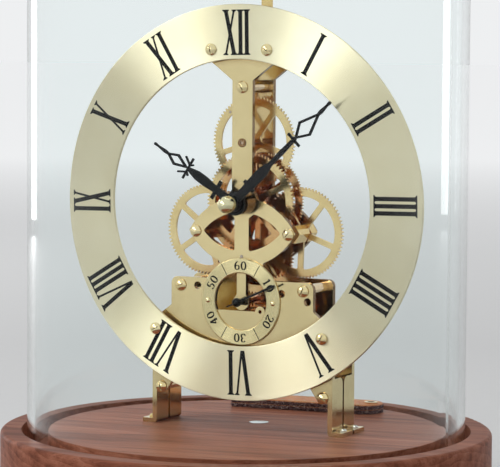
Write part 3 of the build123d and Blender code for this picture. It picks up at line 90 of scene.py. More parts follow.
# The two colours that each other finish is mixed from
LACQUER = ((0.003, 0.003, 0.004), (0.009, 0.009, 0.011))
INK = ((0.004, 0.004, 0.005), (0.012, 0.011, 0.010))
FELT = ((0.012, 0.012, 0.013), (0.050, 0.050, 0.052))
LEATHER_TOP = ((0.620, 0.190, 0.050), (0.750, 0.280, 0.085))
LEATHER_SIDE = ((0.085, 0.032, 0.036), (0.340, 0.240, 0.220))
THREAD = ((0.50, 0.34, 0.20), (0.72, 0.56, 0.38))
FLOOR = ((0.80, 0.80, 0.80), (0.83, 0.83, 0.83))

# Colour of the glass, of the light that comes through it and how much of its gloss is left
GLASS = (0.955, 0.985, 0.982)
GLASS_SHADOW = (0.960, 0.985, 0.980)
GLASS_GLOSS = (0.15, 0.15, 0.15)

# Painted shade: colours that a surface turns to where its neighbours box it in, and how far away these may
# be
AMBER_SHADE = (0.500, 0.125, 0.022)
UMBER_SHADE = (0.380, 0.190, 0.060)
RED_BROWN_SHADE = (0.30, 0.12, 0.06)
SLOT_SHADE = (0.090, 0.050, 0.020)
TRAIN_REACH = 14.0 * MM
PILLAR_REACH = 6.0 * MM
SLOT_REACH = 0.9 * MM
# Shares of open sky at which a surface is fully in its painted shade colour and fully out of it
SHUT_IN = 0.12
OPEN_TO_ALL = 0.80

# The plates' side faces are darker, fading in between two heights, so that the feet stay bright
PLATE_DARK_TONE = (0.230, 0.135, 0.065)
DARK_SIDE_HEIGHTS = (BASE_TOP + 24.0 * MM, BASE_TOP + 30.0 * MM)
# Radius of the burnished ring round the strike wheel's pivot, and its solid and faded half widths
PIVOT_RING = 1.3 * MM
PIVOT_RING_BAND = (0.06 * MM, 0.22 * MM)
PIVOT_RING_STRENGTH = 0.4
# Depth of the slow waves in the plates' polish
PLATE_WAVE = 0.05 * MM

# Rounding of the edges
POLISHED_EDGE = 0.12 * MM
SATIN_EDGE = 0.15 * MM
WHEEL_EDGE = 0.08 * MM
LACQUER_EDGE = 0.06 * MM
FOOT_SCREW_EDGE = 0.08 * MM
WOOD_EDGE = 0.4 * MM
# Depth of hairlines, turning marks and orange peel
FINE_DEPTH = 0.02 * MM

# Depths at which a turned piece changes from black lacquer to bare metal
COLLET_DEPTH = -9.68 * MM
COLLAR_DEPTH = -14.5 * MM

# Walnut: turn of the grain, and how far the heart of the log lies before and below the origin, in metres
GRAIN_TURN = radians(-8.0)
HEART_BEFORE = 0.03
HEART_BELOW = 0.11
# Growth rings in a metre, and how many of them the warp shifts the figure by
GROWTH_RINGS = 330.0
GROWTH_WARP = 3.5
# Tones of the wood from its darkest to its lightest streaks
WALNUT_TONES = [(0.30, (0.105, 0.031, 0.017)), (0.48, (0.240, 0.078, 0.044)),
                (0.64, (0.360, 0.134, 0.080)), (0.85, (0.480, 0.205, 0.135))]
WALNUT_PORE = (0.045, 0.018, 0.012)

# Brushed lines in a metre from the ring's middle, and how often they break in a radian
BRUSHED_LINES = 7000.0
BRUSHED_BREAKS = 1.2
# Turning marks on a wheel as wide as its box
TURNED_LINES = 160.0

# Prints stand a little proud of the metal and start just inside it, and strokes that cross are stepped
PRINT_DEPTH = 0.03 * MM
PRINT_STEP = 0.006 * MM
PRINT_STEPS = 5
PRINT_FOOT = 0.004 * MM

# Roman numerals, in millimetres and degrees
NUMERAL_INNER = 52.1
NUMERAL_OUTER = 68.0
NUMERAL_TURN = -1.0
THICK = 1.5
THIN = 0.74
SERIF_REACH = 0.62
SERIF_TIP = 0.252
SERIF_BRACKET = 0.798
LETTER_GAP = 2.48
X_SPREAD = 3.3
V_SPREAD = 4.5
V_THIN_SHIFT = 0.4
DEGREES_AN_HOUR = 30
HOUR_NAMES = ("XII", "I", "II", "III", "IIII", "V", "VI", "VII", "VIII", "IX", "X", "XI")

# Seconds figures, in millimetres, drawn with a pen that is thick upright and thin level
FIGURE_HEIGHT = 3.1
FIGURE_WIDTH = 2.12
FIGURE_GAP = 0.42
FIGURE_THICK = 0.64
FIGURE_THIN = 0.25
FIGURE_MIDDLE = 12.85
PEN_CONTRAST = 1.6
TICK_INNER = 10.5
TICK_OUTER = 15.2
TICK_WIDTH = 0.28
TICK_SECONDS = (5, 25, 35, 55)
FIGURE_SECONDS = (10, 20, 30, 40, 50, 60)
DEGREES_A_SECOND = 6
ARC_STEPS = 14

# Leather tag: its shape as it lies on the base, in millimetres and degrees, from its own middle
TAG_LENGTH = 59.0
TAG_WIDTH = 15.0
TAG_TURN = 5.8
TAG_ROUND = 2.0
TAG_LEAST_ROUND = 0.2
TAG_HOLE = 2.64
TAG_HOLE_INSET = 4.6
TAG_HOLE_STEPS = 24
TAG_EDGE = 0.55
TAG_CORNER_STEPS = 8
TAG_END_STEPS = 28
# The tag's side as (inset, rise) pairs about its bottom, the seam at mid height and its top
TAG_SIDE = (
    (0.0, ((TAG_EDGE, 0.0), (0.12, 0.25), (0.0, 0.9))),
    (0.5, ((0.05, -0.1), (0.28, 0.0), (0.05, 0.1))),
    (1.0, ((0.0, -0.9), (0.12, -0.35), (TAG_EDGE, 0.0))),
)
# Stitches along both long sides
STITCH_START = 3.0
STITCH_INSET = 1.7
STITCH_STEP = 3.0
STITCH_SINK = 0.10
STITCH_SIZE = (1.05, 0.34, 0.28)
STITCH_SIDES = 10
STITCH_RINGS = 6
# Faces that look up or down more than this stay flat
FLAT_RISE = 0.99

# Soft boxes, each with its place and size in metres and its power in watts, aimed at the movement
LAMP_TARGET = Vector((0.0, 0.0, 0.11))
LAMPS = {
    "key_box": ((-1.25, -1.00, 0.95), (0.6, 0.6), 7.0),
    "front_box_left": ((-0.816, -1.34, 0.565), (0.31, 0.35), 0.46),
    "front_box_right": ((-0.437, -1.506, 0.565), (0.26, 0.35), 1.90),
    "left_strip": ((-1.08, 0.58, 0.31), (0.12, 0.6), 1.0),
    "top_box": ((0.0, 0.25, 1.5), (0.9, 0.6), 4.0),
}
# Colour of the surround, and how strongly it lights rough surfaces, shows in polished ones and is seen
SURROUND = (0.86, 0.87, 0.88)
SURROUND_LIGHT = 0.45
SURROUND_LEVELS = (("Is Glossy Ray", 0.80), ("Is Camera Ray", 1.0), ("Is Transmission Ray", 1.0))
# Floor, in metres: it glows more from near to far, like the surround, so that the horizon hardly shows
FLOOR_RADIUS = 14.0
FLOOR_SIDES = 96
FLOOR_GLOW_FROM = 0.5
FLOOR_GLOW_TO = 2.6
FLOOR_GLOW = 0.56


class Graph:
    """The node tree of one material, with short ways to add nodes."""

    def __init__(self, name):
        self.material = bpy.data.materials.new(name)
        self.material.use_nodes = True
        self.tree = self.material.node_tree
        self.shader = self.tree.nodes["Principled BSDF"]
        self.output = self.tree.nodes["Material Output"]

    def fill(self, node, values):
        """Set or link the inputs of a node."""
        for key, value in values.items():
            socket = node.inputs[key]
            if isinstance(value, bpy.types.NodeSocket):
                self.tree.links.new(value, socket)
            elif isinstance(value, tuple) and len(value) == 3 and socket.type == "RGBA":
                socket.default_value = (*value, 1.0)
            else:
                socket.default_value = value

    def add(self, kind, values=None, output=0, **settings):
        """A new node with its settings and inputs, given as one of its outputs."""
        node = self.tree.nodes.new("ShaderNode" + kind)
        for key, value in settings.items():
            setattr(node, key, value)
        self.fill(node, values or {})
        return node.outputs[output]

    def set(self, **values):
        """Set inputs of the Principled shader, with underscores for spaces."""
        self.fill(self.shader, {key.replace("_", " "): value for key, value in values.items()})

    def place(self):
        """The point on the piece, in metres in the part's own frame."""
        return self.add("TexCoord", output="Object")

    def parts(self, vector):
        """The X, Y and Z of a vector."""
        node = self.tree.nodes.new("ShaderNodeSeparateXYZ")
        self.fill(node, {0: vector})
        return node.outputs

    def facing(self):
        """The X, Y and Z of the direction that the surface faces."""
        return self.parts(self.add("NewGeometry", output="Normal"))

    def vector(self, operation, first, second=(0.0, 0.0, 0.0)):
        """A Vector Math node that gives a vector."""
        return self.add("VectorMath", {0: first, 1: second}, operation=operation)

    def measure(self, operation, first, second=(0.0, 0.0, 0.0)):
        """A Vector Math node that gives a length."""
        return self.add("VectorMath", {0: first, 1: second}, output="Value", operation=operation)

    def stretched(self, vector, scale, turn=(0.0, 0.0, 0.0)):
        """A point turned and scaled along each axis."""
        return self.add("Mapping", {"Vector": vector, "Scale": scale, "Rotation": turn})

    def noise(self, vector, scale=1.0, detail=2.0, rough=0.5):
        """A noise value from 0 to 1."""
        values = {"Vector": vector, "Scale": scale, "Detail": detail, "Roughness": rough}
        return self.add("TexNoise", values)

    def math(self, operation, first, second=0.0):
        """A Math node."""
        return self.add("Math", {0: first, 1: second}, operation=operation)

    def mapped(self, value, low, high, new_low, new_high):
        """A value mapped from one range to another and clamped."""
        values = {"Value": value, "From Min": low, "From Max": high, "To Min": new_low, "To Max": new_high}
        return self.add("MapRange", values)

    def share(self, value, low, high):
        """How far a value is from low to high, from 0 to 1."""
        return self.mapped(value, low, high, 0.0, 1.0)

    def varied(self, value, low, high, middle, less, more):
        """A number that goes from less to more times a middle one while a value goes from low to high."""
        return self.mapped(value, low, high, less * middle, more * middle)

    def mix(self, factor, first, second):
        """A mix of two colours."""
        node = self.tree.nodes.new("ShaderNodeMix")
        node.data_type = "RGBA"
        self.fill(node, {0: factor, 6: first, 7: second})
        return node.outputs[2]

    def ramp(self, value, stops):
        """A colour ramp with stops of place and colour."""
        node = self.tree.nodes.new("ShaderNodeValToRGB")
        while len(node.color_ramp.elements) < len(stops):
            node.color_ramp.elements.new(0.5)
        for element, (where, colour) in zip(node.color_ramp.elements, stops):
            element.position = where
            element.color = (*colour, 1.0)
        self.fill(node, {"Fac": value})
        return node.outputs[0]

    def occluded(self, colour, shade, reach):
        """A colour with painted shade, turning to a shade colour where the surface is boxed in by its
        neighbours.
        """
        open_share = self.add("AmbientOcclusion", {"Distance": reach}, output="AO", samples=6)
        return self.mix(self.share(open_share, SHUT_IN, OPEN_TO_ALL), shade, colour)

    def bevel(self, radius):
        """A normal rounded over edges."""
        return self.add("Bevel", {"Radius": radius}, samples=4)

    def bump(self, height, strength, depth, normal=None):
        """A bumped normal."""
        values = {"Height": height, "Strength": strength, "Distance": depth}
        if normal is not None:
            values["Normal"] = normal
        return self.add("Bump", values)


def clouded(graph, place, colours, scale=70.0, detail=4.0):
    """A metal's colour, with faint clouds between its light and its deep one."""
    return graph.mix(graph.share(graph.noise(place, scale, detail), 0.3, 0.7), *colours)


def across_axis(graph, offset):
    """The part of an offset that lies across a turned piece's axis, which runs along Y."""
    return graph.vector("MULTIPLY", offset, (1.0, 0.0, 1.0))


def polish(graph, place, base, roughness, wave=0.0):
    """Finish a metal with smudges, hairlines, rounded edges and, if asked for, slow waves."""
    smudge = graph.noise(place, scale=320.0, detail=5.0, rough=0.6)
    hairline = graph.noise(graph.stretched(place, (200.0, 200.0, 2400.0), (0.3, 0.2, 0.1)), detail=3.0)
    normal = graph.bump(hairline, strength=0.04, depth=FINE_DEPTH, normal=graph.bevel(POLISHED_EDGE))
    if wave:
        swell = graph.noise(place, scale=28.0, detail=1.0)
        normal = graph.bump(swell, strength=1.0, depth=wave, normal=normal)
    graph.set(Base_Color=base, Metallic=1.0, Normal=normal,
              Roughness=graph.varied(smudge, 0.3, 0.75, roughness, less=0.75, more=1.5))


def polished_metal(name, colours, roughness, shade=None, reach=TRAIN_REACH):
    """Polished, lacquered metal, with shade painted into its colour where its neighbours box it in."""
    graph = Graph(name)
    place = graph.place()
    base = clouded(graph, place, colours)
    # Painted shade: the colour turns to the shade colour where neighbours box the surface in
    if shade:
        base = graph.occluded(base, shade, reach)
    polish(graph, place, base, roughness)
    return graph.material


def plate_metal():
    """Polished plates with darker side faces above the feet, a burnished ring round the strike wheel's
    pivot and painted shade where neighbours box them in.
    """
    graph = Graph("plate_brass")
    place = graph.place()
    # Side faces above the feet turn to the darker tone
    sideways = graph.mapped(graph.math("ABSOLUTE", graph.facing()[1]), 0.35, 0.80, 1.0, 0.0)
    above_feet = graph.share(graph.parts(place)[2], *DARK_SIDE_HEIGHTS)
    base = graph.mix(graph.math("MULTIPLY", sideways, above_feet), clouded(graph, place, PLATE_BRASS), PLATE_DARK_TONE)
    away = graph.measure("DISTANCE", place, STRIKE_PIVOT)
    off_ring = graph.math("ABSOLUTE", graph.math("SUBTRACT", away, PIVOT_RING))
    base = graph.mix(graph.mapped(off_ring, *PIVOT_RING_BAND, PIVOT_RING_STRENGTH, 0.0), base, PLATE_DARK_TONE)
    # Painted shade: umber where neighbouring parts box the plate in
    polish(graph, place, graph.occluded(base, UMBER_SHADE, TRAIN_REACH), roughness=0.13, wave=PLATE_WAVE)
    return graph.material


def circular_satin(name, middle, colours, roughness, anisotropic):
    """Metal brushed in circles round a middle, with a bright fan where it faces a lamp."""
    graph = Graph(name)
    place = graph.place()
    flat = across_axis(graph, graph.vector("SUBTRACT", place, tuple(middle)))
    sides = graph.parts(flat)
    out = graph.math("MULTIPLY", graph.measure("LENGTH", flat), BRUSHED_LINES)
    around = graph.math("MULTIPLY", graph.math("ARCTAN2", sides[2], sides[0]), BRUSHED_BREAKS)
    line = graph.noise(graph.add("CombineXYZ", {0: out, 1: around}), detail=3.0, rough=0.7)
    graph.set(Base_Color=clouded(graph, place, colours, scale=45.0, detail=3.0), Metallic=1.0,
              Roughness=graph.varied(line, 0.25, 0.75, roughness, less=0.8, more=1.2),
              Anisotropic=anisotropic, Tangent=graph.vector("NORMALIZE", flat),
              Normal=graph.bump(line, strength=0.03, depth=FINE_DEPTH, normal=graph.bevel(SATIN_EDGE)))
    return graph.material


def turned_metal(name, colours, roughness, shade):
    """Wheel brass with faint circular turning marks round the middle of each piece, and painted shade where
    its neighbours box it in.
    """
    graph = Graph(name)
    inside = graph.add("TexCoord", output="Generated")
    flat = across_axis(graph, graph.vector("SUBTRACT", inside, (0.5, 0.5, 0.5)))
    out = graph.math("MULTIPLY", graph.measure("LENGTH", flat), TURNED_LINES)
    line = graph.noise(graph.add("CombineXYZ", {0: out}), detail=3.0, rough=0.7)
    colour = clouded(graph, graph.place(), colours, scale=160.0, detail=3.0)
    # Painted shade: amber where neighbouring parts box the wheel in
    base = graph.occluded(colour, shade, TRAIN_REACH)
    graph.set(Base_Color=base, Metallic=1.0,
              Roughness=graph.varied(line, 0.25, 0.75, roughness, less=0.7, more=1.35),
              Normal=graph.bump(line, strength=0.10, depth=FINE_DEPTH, normal=graph.bevel(WHEEL_EDGE)))
    return graph.material


def walnut():
    """Oiled walnut with long grain along X, dark pores and growth figure."""
    graph = Graph("walnut")
    board = graph.stretched(graph.place(), (1.0, 1.0, 1.0), (0.0, 0.0, GRAIN_TURN))
    warp = graph.noise(graph.stretched(board, (6.0, 34.0, 34.0)), detail=3.0)
    streak = graph.noise(graph.stretched(board, (9.0, 240.0, 240.0)), detail=3.0, rough=0.6)
    fibre = graph.noise(graph.stretched(board, (45.0, 1600.0, 1600.0)), detail=4.0, rough=0.65)
    pore = graph.noise(graph.stretched(board, (110.0, 3200.0, 3200.0)))
    sides = graph.parts(board)
    aside = graph.math("ADD", sides[1], HEART_BEFORE)
    above = graph.math("ADD", sides[2], HEART_BELOW)
    squares = graph.math("ADD", graph.math("MULTIPLY", aside, aside), graph.math("MULTIPLY", above, above))
    rings = graph.math("MULTIPLY", graph.math("SQRT", squares), GROWTH_RINGS)
    figure = graph.math("FRACT", graph.math("ADD", rings, graph.math("MULTIPLY", warp, GROWTH_WARP)))
    tone = graph.math("ADD", graph.math("MULTIPLY", streak, 0.65), graph.math("MULTIPLY", figure, 0.12))
    tone = graph.math("ADD", tone, graph.math("MULTIPLY", fibre, 0.28))
    hole = graph.share(pore, 0.60, 0.68)
    height = graph.math("SUBTRACT", graph.math("MULTIPLY", fibre, 0.5), hole)
    dark = graph.math("MULTIPLY", hole, 0.55)
    graph.set(Base_Color=graph.mix(dark, graph.ramp(tone, WALNUT_TONES), WALNUT_PORE),
              Roughness=graph.mapped(fibre, 0.2, 0.8, 0.34, 0.50), Specular_IOR_Level=0.05,
              Normal=graph.bump(height, strength=0.14, depth=0.05 * MM, normal=graph.bevel(WOOD_EDGE)))
    return graph.material


def clear_glass():
    """Clear glass that lets lamps through, with faint smears."""
    graph = Graph("dome_glass")
    smear = graph.noise(graph.stretched(graph.place(), (20.0, 20.0, 6.0)), detail=4.0)
    graph.set(Base_Color=GLASS, Metallic=0.0, IOR=1.46, Transmission_Weight=1.0,
              Specular_Tint=GLASS_GLOSS, Roughness=graph.mapped(smear, 0.4, 0.8, 0.0, 0.02))
    shadow_ray = graph.add("LightPath", output="Is Shadow Ray")
    clear = graph.add("BsdfTransparent", {"Color": GLASS_SHADOW})
    mixed = graph.add("MixShader", {0: shadow_ray, 1: graph.shader.outputs[0], 2: clear})
    graph.tree.links.new(mixed, graph.output.inputs["Surface"])
    return graph.material


def black_lacquer(name, roughness):
    """The graph of a satin black lacquer with a fine orange peel."""
    graph = Graph(name)
    place = graph.place()
    peel = graph.noise(place, scale=1800.0)
    cloud = graph.noise(place, scale=160.0, detail=3.0)
    graph.set(Base_Color=graph.mix(cloud, *LACQUER), Specular_IOR_Level=0.16,
              Roughness=graph.varied(cloud, 0.3, 0.7, roughness, less=0.8, more=1.25),
              Normal=graph.bump(peel, strength=0.12, depth=FINE_DEPTH, normal=graph.bevel(LACQUER_EDGE)))
    return graph


def black_and_metal(name, colours, roughness, depth, metal_behind):
    """Black lacquer on one side of a depth and bare metal on the other."""
    graph = black_lacquer(name, roughness)
    place = graph.place()
    metal = graph.math("GREATER_THAN", graph.parts(place)[1], depth)
    if not metal_behind:
        metal = graph.math("SUBTRACT", 1.0, metal)
    black = graph.shader.inputs["Base Color"].links[0].from_socket
    rough = graph.shader.inputs["Roughness"].links[0].from_socket
    line = graph.noise(graph.stretched(place, (400.0, 6000.0, 400.0)))
    bare = graph.mix(line, *colours)
    satin = graph.mapped(line, 0.2, 0.8, 0.12, 0.24)
    graph.set(Base_Color=graph.mix(metal, black, bare), Metallic=metal,
              Roughness=graph.mapped(metal, 0.0, 1.0, rough, satin))
    return graph.material


def printed_black():
    """Matt black dial print, a little thinner here and there."""
    graph = Graph("dial_print")
    grain = graph.noise(graph.place(), scale=2600.0, detail=3.0)
    graph.set(Base_Color=graph.mix(graph.share(grain, 0.3, 0.8), *INK),
              Roughness=0.42, Specular_IOR_Level=0.10,
              Normal=graph.bump(grain, strength=0.02, depth=0.01 * MM))
    return graph.material


def felt():
    """Short black felt under the pads."""
    graph = Graph("felt")
    fuzz = graph.noise(graph.place(), scale=3000.0, detail=4.0, rough=0.7)
    graph.set(Base_Color=graph.mix(fuzz, *FELT), Roughness=0.95, Sheen_Weight=0.4,
              Normal=graph.bump(fuzz, strength=0.8, depth=0.2 * MM))
    return graph.material


def two_screws():
    """Foot screws, brass at the left and bright steel at the right."""
    graph = Graph("foot_screw_metal")
    place = graph.place()
    at_right = graph.math("GREATER_THAN", graph.parts(place)[0], 0.0)
    cloud = graph.noise(place, scale=320.0, detail=4.0)
    colour = graph.mix(at_right, FOOT_SCREW_BRASS, FOOT_SCREW_STEEL)
    dirt = graph.math("MULTIPLY", cloud, 0.4)
    graph.set(Base_Color=graph.mix(dirt, colour, FOOT_SCREW_DIRT), Metallic=1.0,
              Roughness=graph.mapped(cloud, 0.3, 0.7, 0.10, 0.20), Normal=graph.bevel(FOOT_SCREW_EDGE))
    return graph.material


def leather():
    """Dyed leather, smooth and orange on top and dark and rough on the cut side."""
    graph = Graph("tag_leather")
    place = graph.place()
    grain = graph.add("TexVoronoi", {"Vector": place, "Scale": 1500.0}, feature="F1")
    cloud = graph.noise(place, scale=190.0, detail=4.0, rough=0.6)
    fleck = graph.noise(place, scale=1500.0, detail=3.0, rough=0.6)
    top = graph.mix(graph.share(cloud, 0.3, 0.7), *LEATHER_TOP)
    side = graph.mix(graph.share(fleck, 0.52, 0.62), *LEATHER_SIDE)
    rise = graph.share(graph.facing()[2], 0.35, 0.75)
    height = graph.math("ADD", graph.math("MULTIPLY", grain, 700.0), fleck)
    graph.set(Base_Color=graph.mix(rise, side, top), Roughness=graph.mapped(rise, 0.0, 1.0, 0.85, 0.42),
              Specular_IOR_Level=0.35, Normal=graph.bump(height, strength=0.5, depth=0.08 * MM))
    return graph.material


def thread():
    """Waxed thread with a fine twist."""
    graph = Graph("thread")
    twist = graph.noise(graph.stretched(graph.place(), (2600.0, 900.0, 2600.0), (0.0, 0.0, 0.7)))
    graph.set(Base_Color=graph.mix(twist, *THREAD), Roughness=0.6,
              Normal=graph.bump(twist, strength=0.6, depth=0.05 * MM))
    return graph.material


# The gilt, pillar, screw, wheel, arbor and plate finishes carry painted shade where their neighbours box
# them in
materials = {
    "plate": plate_metal(),
    "gilt": polished_metal("gilt_brass", GILT_BRASS, roughness=0.12, shade=AMBER_SHADE),
    "pillar": polished_metal("pillar_brass", PILLAR_BRASS, roughness=0.14, shade=RED_BROWN_SHADE, reach=PILLAR_REACH),
    "bush": polished_metal("bush_bronze", BUSH_BRONZE, roughness=0.16),
    "screw": polished_metal("screw_brass", SCREW_BRASS, roughness=0.09, shade=SLOT_SHADE, reach=SLOT_REACH),
    "ring": circular_satin("ring_brass", RING_MIDDLE, RING_BRASS, roughness=0.36, anisotropic=1.0),
    "dial": circular_satin("dial_brass", DIAL_MIDDLE, DIAL_BRASS, roughness=0.28, anisotropic=0.8),
    "wheel": turned_metal("wheel_brass", WHEEL_BRASS, roughness=0.17, shade=AMBER_SHADE),
    "steel": polished_metal("arbor_steel", ARBOR_STEEL, roughness=0.16, shade=AMBER_SHADE),
    "bright": polished_metal("screw_steel", SCREW_STEEL, roughness=0.14),
    "blued": polished_metal("spring_steel", BLUED_STEEL, roughness=0.20),
    "feet": two_screws(),
    "wood": walnut(),
    "glass": clear_glass(),
    "black": black_lacquer("hand_black", roughness=0.34).material,
    "hour": black_and_metal("hour_hand_finish", COLLET_BRONZE, roughness=0.34, depth=COLLET_DEPTH,
                            metal_behind=True),
    "nut": black_and_metal("hand_nut_finish", NUT_BRASS, roughness=0.30, depth=COLLAR_DEPTH,
                           metal_behind=False),
    "print": printed_black(),
    "felt": felt(),
    "leather": leather(),
    "thread": thread(),
}

node_materials = {
    "plate": ["front_plate", "rear_plate"],
    "pillar": ["pillars"],
    "bush": ["plate_bushes"],
    "gilt": ["wheel_posts", "post_sleeves", "chapter_ring_spacers", "bell_post",
             "bell", "pallet_cock", "escapement_bridge", "bridge_pillars", "barrel", "barrel_cover",
             "key_tag_eyelet"],
    "screw": ["chapter_ring_screws", "seconds_dial_screws", "front_plate_screws", "rear_screws",
              "left_post_nut", "bell_nut"],
    "feet": ["foot_screws"],
    "hour": ["hour_hand"],
    "nut": ["hand_nut"],
    "ring": ["chapter_ring"],
    "dial": ["seconds_dial"],
    "wheel": ["idler_wheel", "intermediate_wheel", "centre_wheel", "minute_wheel", "hour_wheel",
              "strike_wheel", "third_wheel", "fourth_wheel", "escape_wheel", "balance", "hammer"],
    "steel": ["intermediate_arbor", "centre_arbor", "cannon_pinion", "strike_pins", "strike_arbor",
              "third_arbor", "fourth_arbor", "escape_arbor", "winding_arbor", "ratchet_wheel",
              "pallet_lever"],
    "bright": ["base_screw"],
    "blued": ["hairspring", "mainspring", "click_spring", "click", "friction_washer"],
    "wood": ["base"],
    "glass": ["glass_dome"],
    "black": ["minute_hand", "seconds_hand"],
    "felt": ["foot_pads"],
}


def dress(piece, material):
    """Give a piece one material."""
    piece.data.materials.clear()
    piece.data.materials.append(material)


def new_piece(name, work, material):
    """A dressed piece from an edited mesh, which rides on the clock's fixed body."""
    mesh = bpy.data.meshes.new(name)
    work.to_mesh(mesh)
    work.free()
    piece = bpy.data.objects.new(name, mesh)
    bpy.context.scene.collection.objects.link(piece)
    dress(piece, materials[material])
    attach(piece, "root")
    return piece


for key, names in node_materials.items():
    for name in names:
        dress(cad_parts[name], materials[key])


def slanted(start, end, width):
    """A stroke whose ends are level, from (x, y) to (x, y), as a polygon."""
    half = width / 2 * hypot(end[0] - start[0], end[1] - start[1]) / abs(end[1] - start[1])
    return [(start[0] - half, start[1]), (start[0] + half, start[1]), (end[0] + half, end[1]),
            (end[0] - half, end[1])]


def serif(x, y, width, inward):
    """A thin bar with a short bracket across the end of a stroke."""
    half = width / 2
    reach = half + SERIF_REACH
    tip = y + inward * SERIF_TIP
    bracket = y + inward * SERIF_BRACKET
    return [(x - reach, y), (x + reach, y), (x + reach, tip), (x + half, bracket), (x - half, bracket),
            (x - reach, tip)]


def numeral_strokes(name):
    """The polygons of a Roman numeral, standing on the origin and centred on it."""
    height = NUMERAL_OUTER - NUMERAL_INNER
    spreads = {"I": 0.0, "V": V_SPREAD, "X": X_SPREAD}
    total = sum(spreads[letter] for letter in name) + LETTER_GAP * (len(name) - 1)
    left = -total / 2
    strokes = []
    for letter in name:
        right = left + spreads[letter]
        if letter == "I":
            strokes += [slanted((left, 0), (left, height), THICK), serif(left, 0, THICK, 1),
                        serif(left, height, THICK, -1)]
        elif letter == "V":
            apex = (left + right) / 2
            strokes += [slanted((left, height), (apex, 0), THICK),
                        slanted((right, height), (apex + V_THIN_SHIFT, 0), THIN),
                        serif(left, height, THICK, -1), serif(right, height, THIN, -1)]
        else:
            strokes += [slanted((left, height), (right, 0), THICK),
                        slanted((right, height), (left, 0), THIN),
                        serif(left, height, THICK, -1), serif(right, height, THIN, -1),
                        serif(right, 0, THICK, 1), serif(left, 0, THIN, 1)]
        left = right + LETTER_GAP
    return strokes


def printed(name, polygons, face, middle):
    """A piece of flat prints on a face that looks forward, from polygons in millimetres."""
    work = bmesh.new()
    for index, polygon in enumerate(polygons):
        front = face - PRINT_DEPTH - PRINT_STEP * (index % PRINT_STEPS)
        near = [work.verts.new((middle.x + x * MM, front, middle.z + z * MM)) for x, z in polygon]
        far = [work.verts.new((vert.co.x, face + PRINT_FOOT, vert.co.z)) for vert in near]
        work.faces.new(near)
        work.faces.new(far[::-1])
        count = len(near)
        for i in range(count):
            j = (i + 1) % count
            work.faces.new((near[j], near[i], far[i], far[j]))
    bmesh.ops.recalc_face_normals(work, faces=work.faces)
    return new_piece(name, work, "print")


def turned_out(polygon, radius, angle):
    """A polygon set radially at a clockwise angle, with its foot at the radius."""
    sine, cosine = sin(radians(angle)), cos(radians(angle))
    return [(x * cosine + (radius + y) * sine, -x * sine + (radius + y) * cosine) for x, y in polygon]


def hour_numerals():
    """One print for each of the twelve hours."""
    for hour, name in enumerate(HOUR_NAMES):
        angle = DEGREES_AN_HOUR * hour + NUMERAL_TURN
        strokes = [turned_out(stroke, NUMERAL_INNER, angle) for stroke in numeral_strokes(name)]
        printed(f"numeral_{hour or 12}", strokes, RING_FACE, RING_MIDDLE)


def arc(x, y, wide, tall, start, end):
    """Points along an ellipse's arc between two angles in degrees."""
    angles = [radians(start + (end - start) * i / ARC_STEPS) for i in range(ARC_STEPS + 1)]
    return [(x + wide * cos(angle), y + tall * sin(angle)) for angle in angles]


# Centre lines of the figures in a box from 0 to 1 each way
FIGURES = {
    "0": [arc(0.5, 0.5, 0.40, 0.46, 0, 360)],
    "1": [[(0.22, 0.80), (0.40, 0.88), (0.53, 0.97)], [(0.53, 0.97), (0.53, 0.5), (0.53, 0.03)],
          [(0.26, 0.03), (0.80, 0.03)]],
    "2": [arc(0.48, 0.70, 0.36, 0.26, 170, -35) + [(0.55, 0.33), (0.13, 0.06)],
          [(0.13, 0.05), (0.88, 0.05)], [(0.88, 0.05), (0.92, 0.22)]],
    "3": [arc(0.46, 0.74, 0.33, 0.22, 160, -80), arc(0.46, 0.27, 0.38, 0.24, 85, -165)],
    "4": [[(0.66, 0.97), (0.36, 0.62), (0.08, 0.28)], [(0.08, 0.28), (0.94, 0.28)],
          [(0.66, 0.97), (0.66, 0.5), (0.66, 0.03)], [(0.44, 0.03), (0.88, 0.03)]],
    "5": [[(0.82, 0.95), (0.22, 0.95)], [(0.22, 0.95), (0.20, 0.75), (0.18, 0.56)],
          arc(0.47, 0.30, 0.37, 0.27, 140, -155)],
    "6": [arc(0.50, 0.29, 0.37, 0.25, 0, 360), arc(0.72, 0.42, 0.60, 0.54, 100, 190)],
}


def pen_width(run):
    """The pen's width for a direction of the stroke."""
    upright = abs(run[1]) / hypot(*run)
    return FIGURE_THIN + (FIGURE_THICK - FIGURE_THIN) * upright ** PEN_CONTRAST


def pen_strokes(line):
    """Quads along a centre line, as wide as the pen is there."""
    rims = []
    for i, (x, y) in enumerate(line):
        before = line[max(i - 1, 0)]
        after = line[min(i + 1, len(line) - 1)]
        run = (after[0] - before[0], after[1] - before[1])
        if i in (0, len(line) - 1) and line[0] == line[-1]:
            run = (line[1][0] - line[-2][0], line[1][1] - line[-2][1])
        half = pen_width(run) / 2
        length = hypot(*run)
        aside = (-run[1] / length * half, run[0] / length * half)
        rims.append(((x + aside[0], y + aside[1]), (x - aside[0], y - aside[1])))
    return [[near[0], near[1], far[1], far[0]] for near, far in zip(rims, rims[1:])]


def figure_strokes(text):
    """The quads of a number, standing on the origin and centred on it."""
    total = len(text) * FIGURE_WIDTH + (len(text) - 1) * FIGURE_GAP
    strokes = []
    for place, digit in enumerate(text):
        left = -total / 2 + place * (FIGURE_WIDTH + FIGURE_GAP)
        for line in FIGURES[digit]:
            scaled = [(left + x * FIGURE_WIDTH, y * FIGURE_HEIGHT) for x, y in line]
            strokes += pen_strokes(scaled)
    return strokes


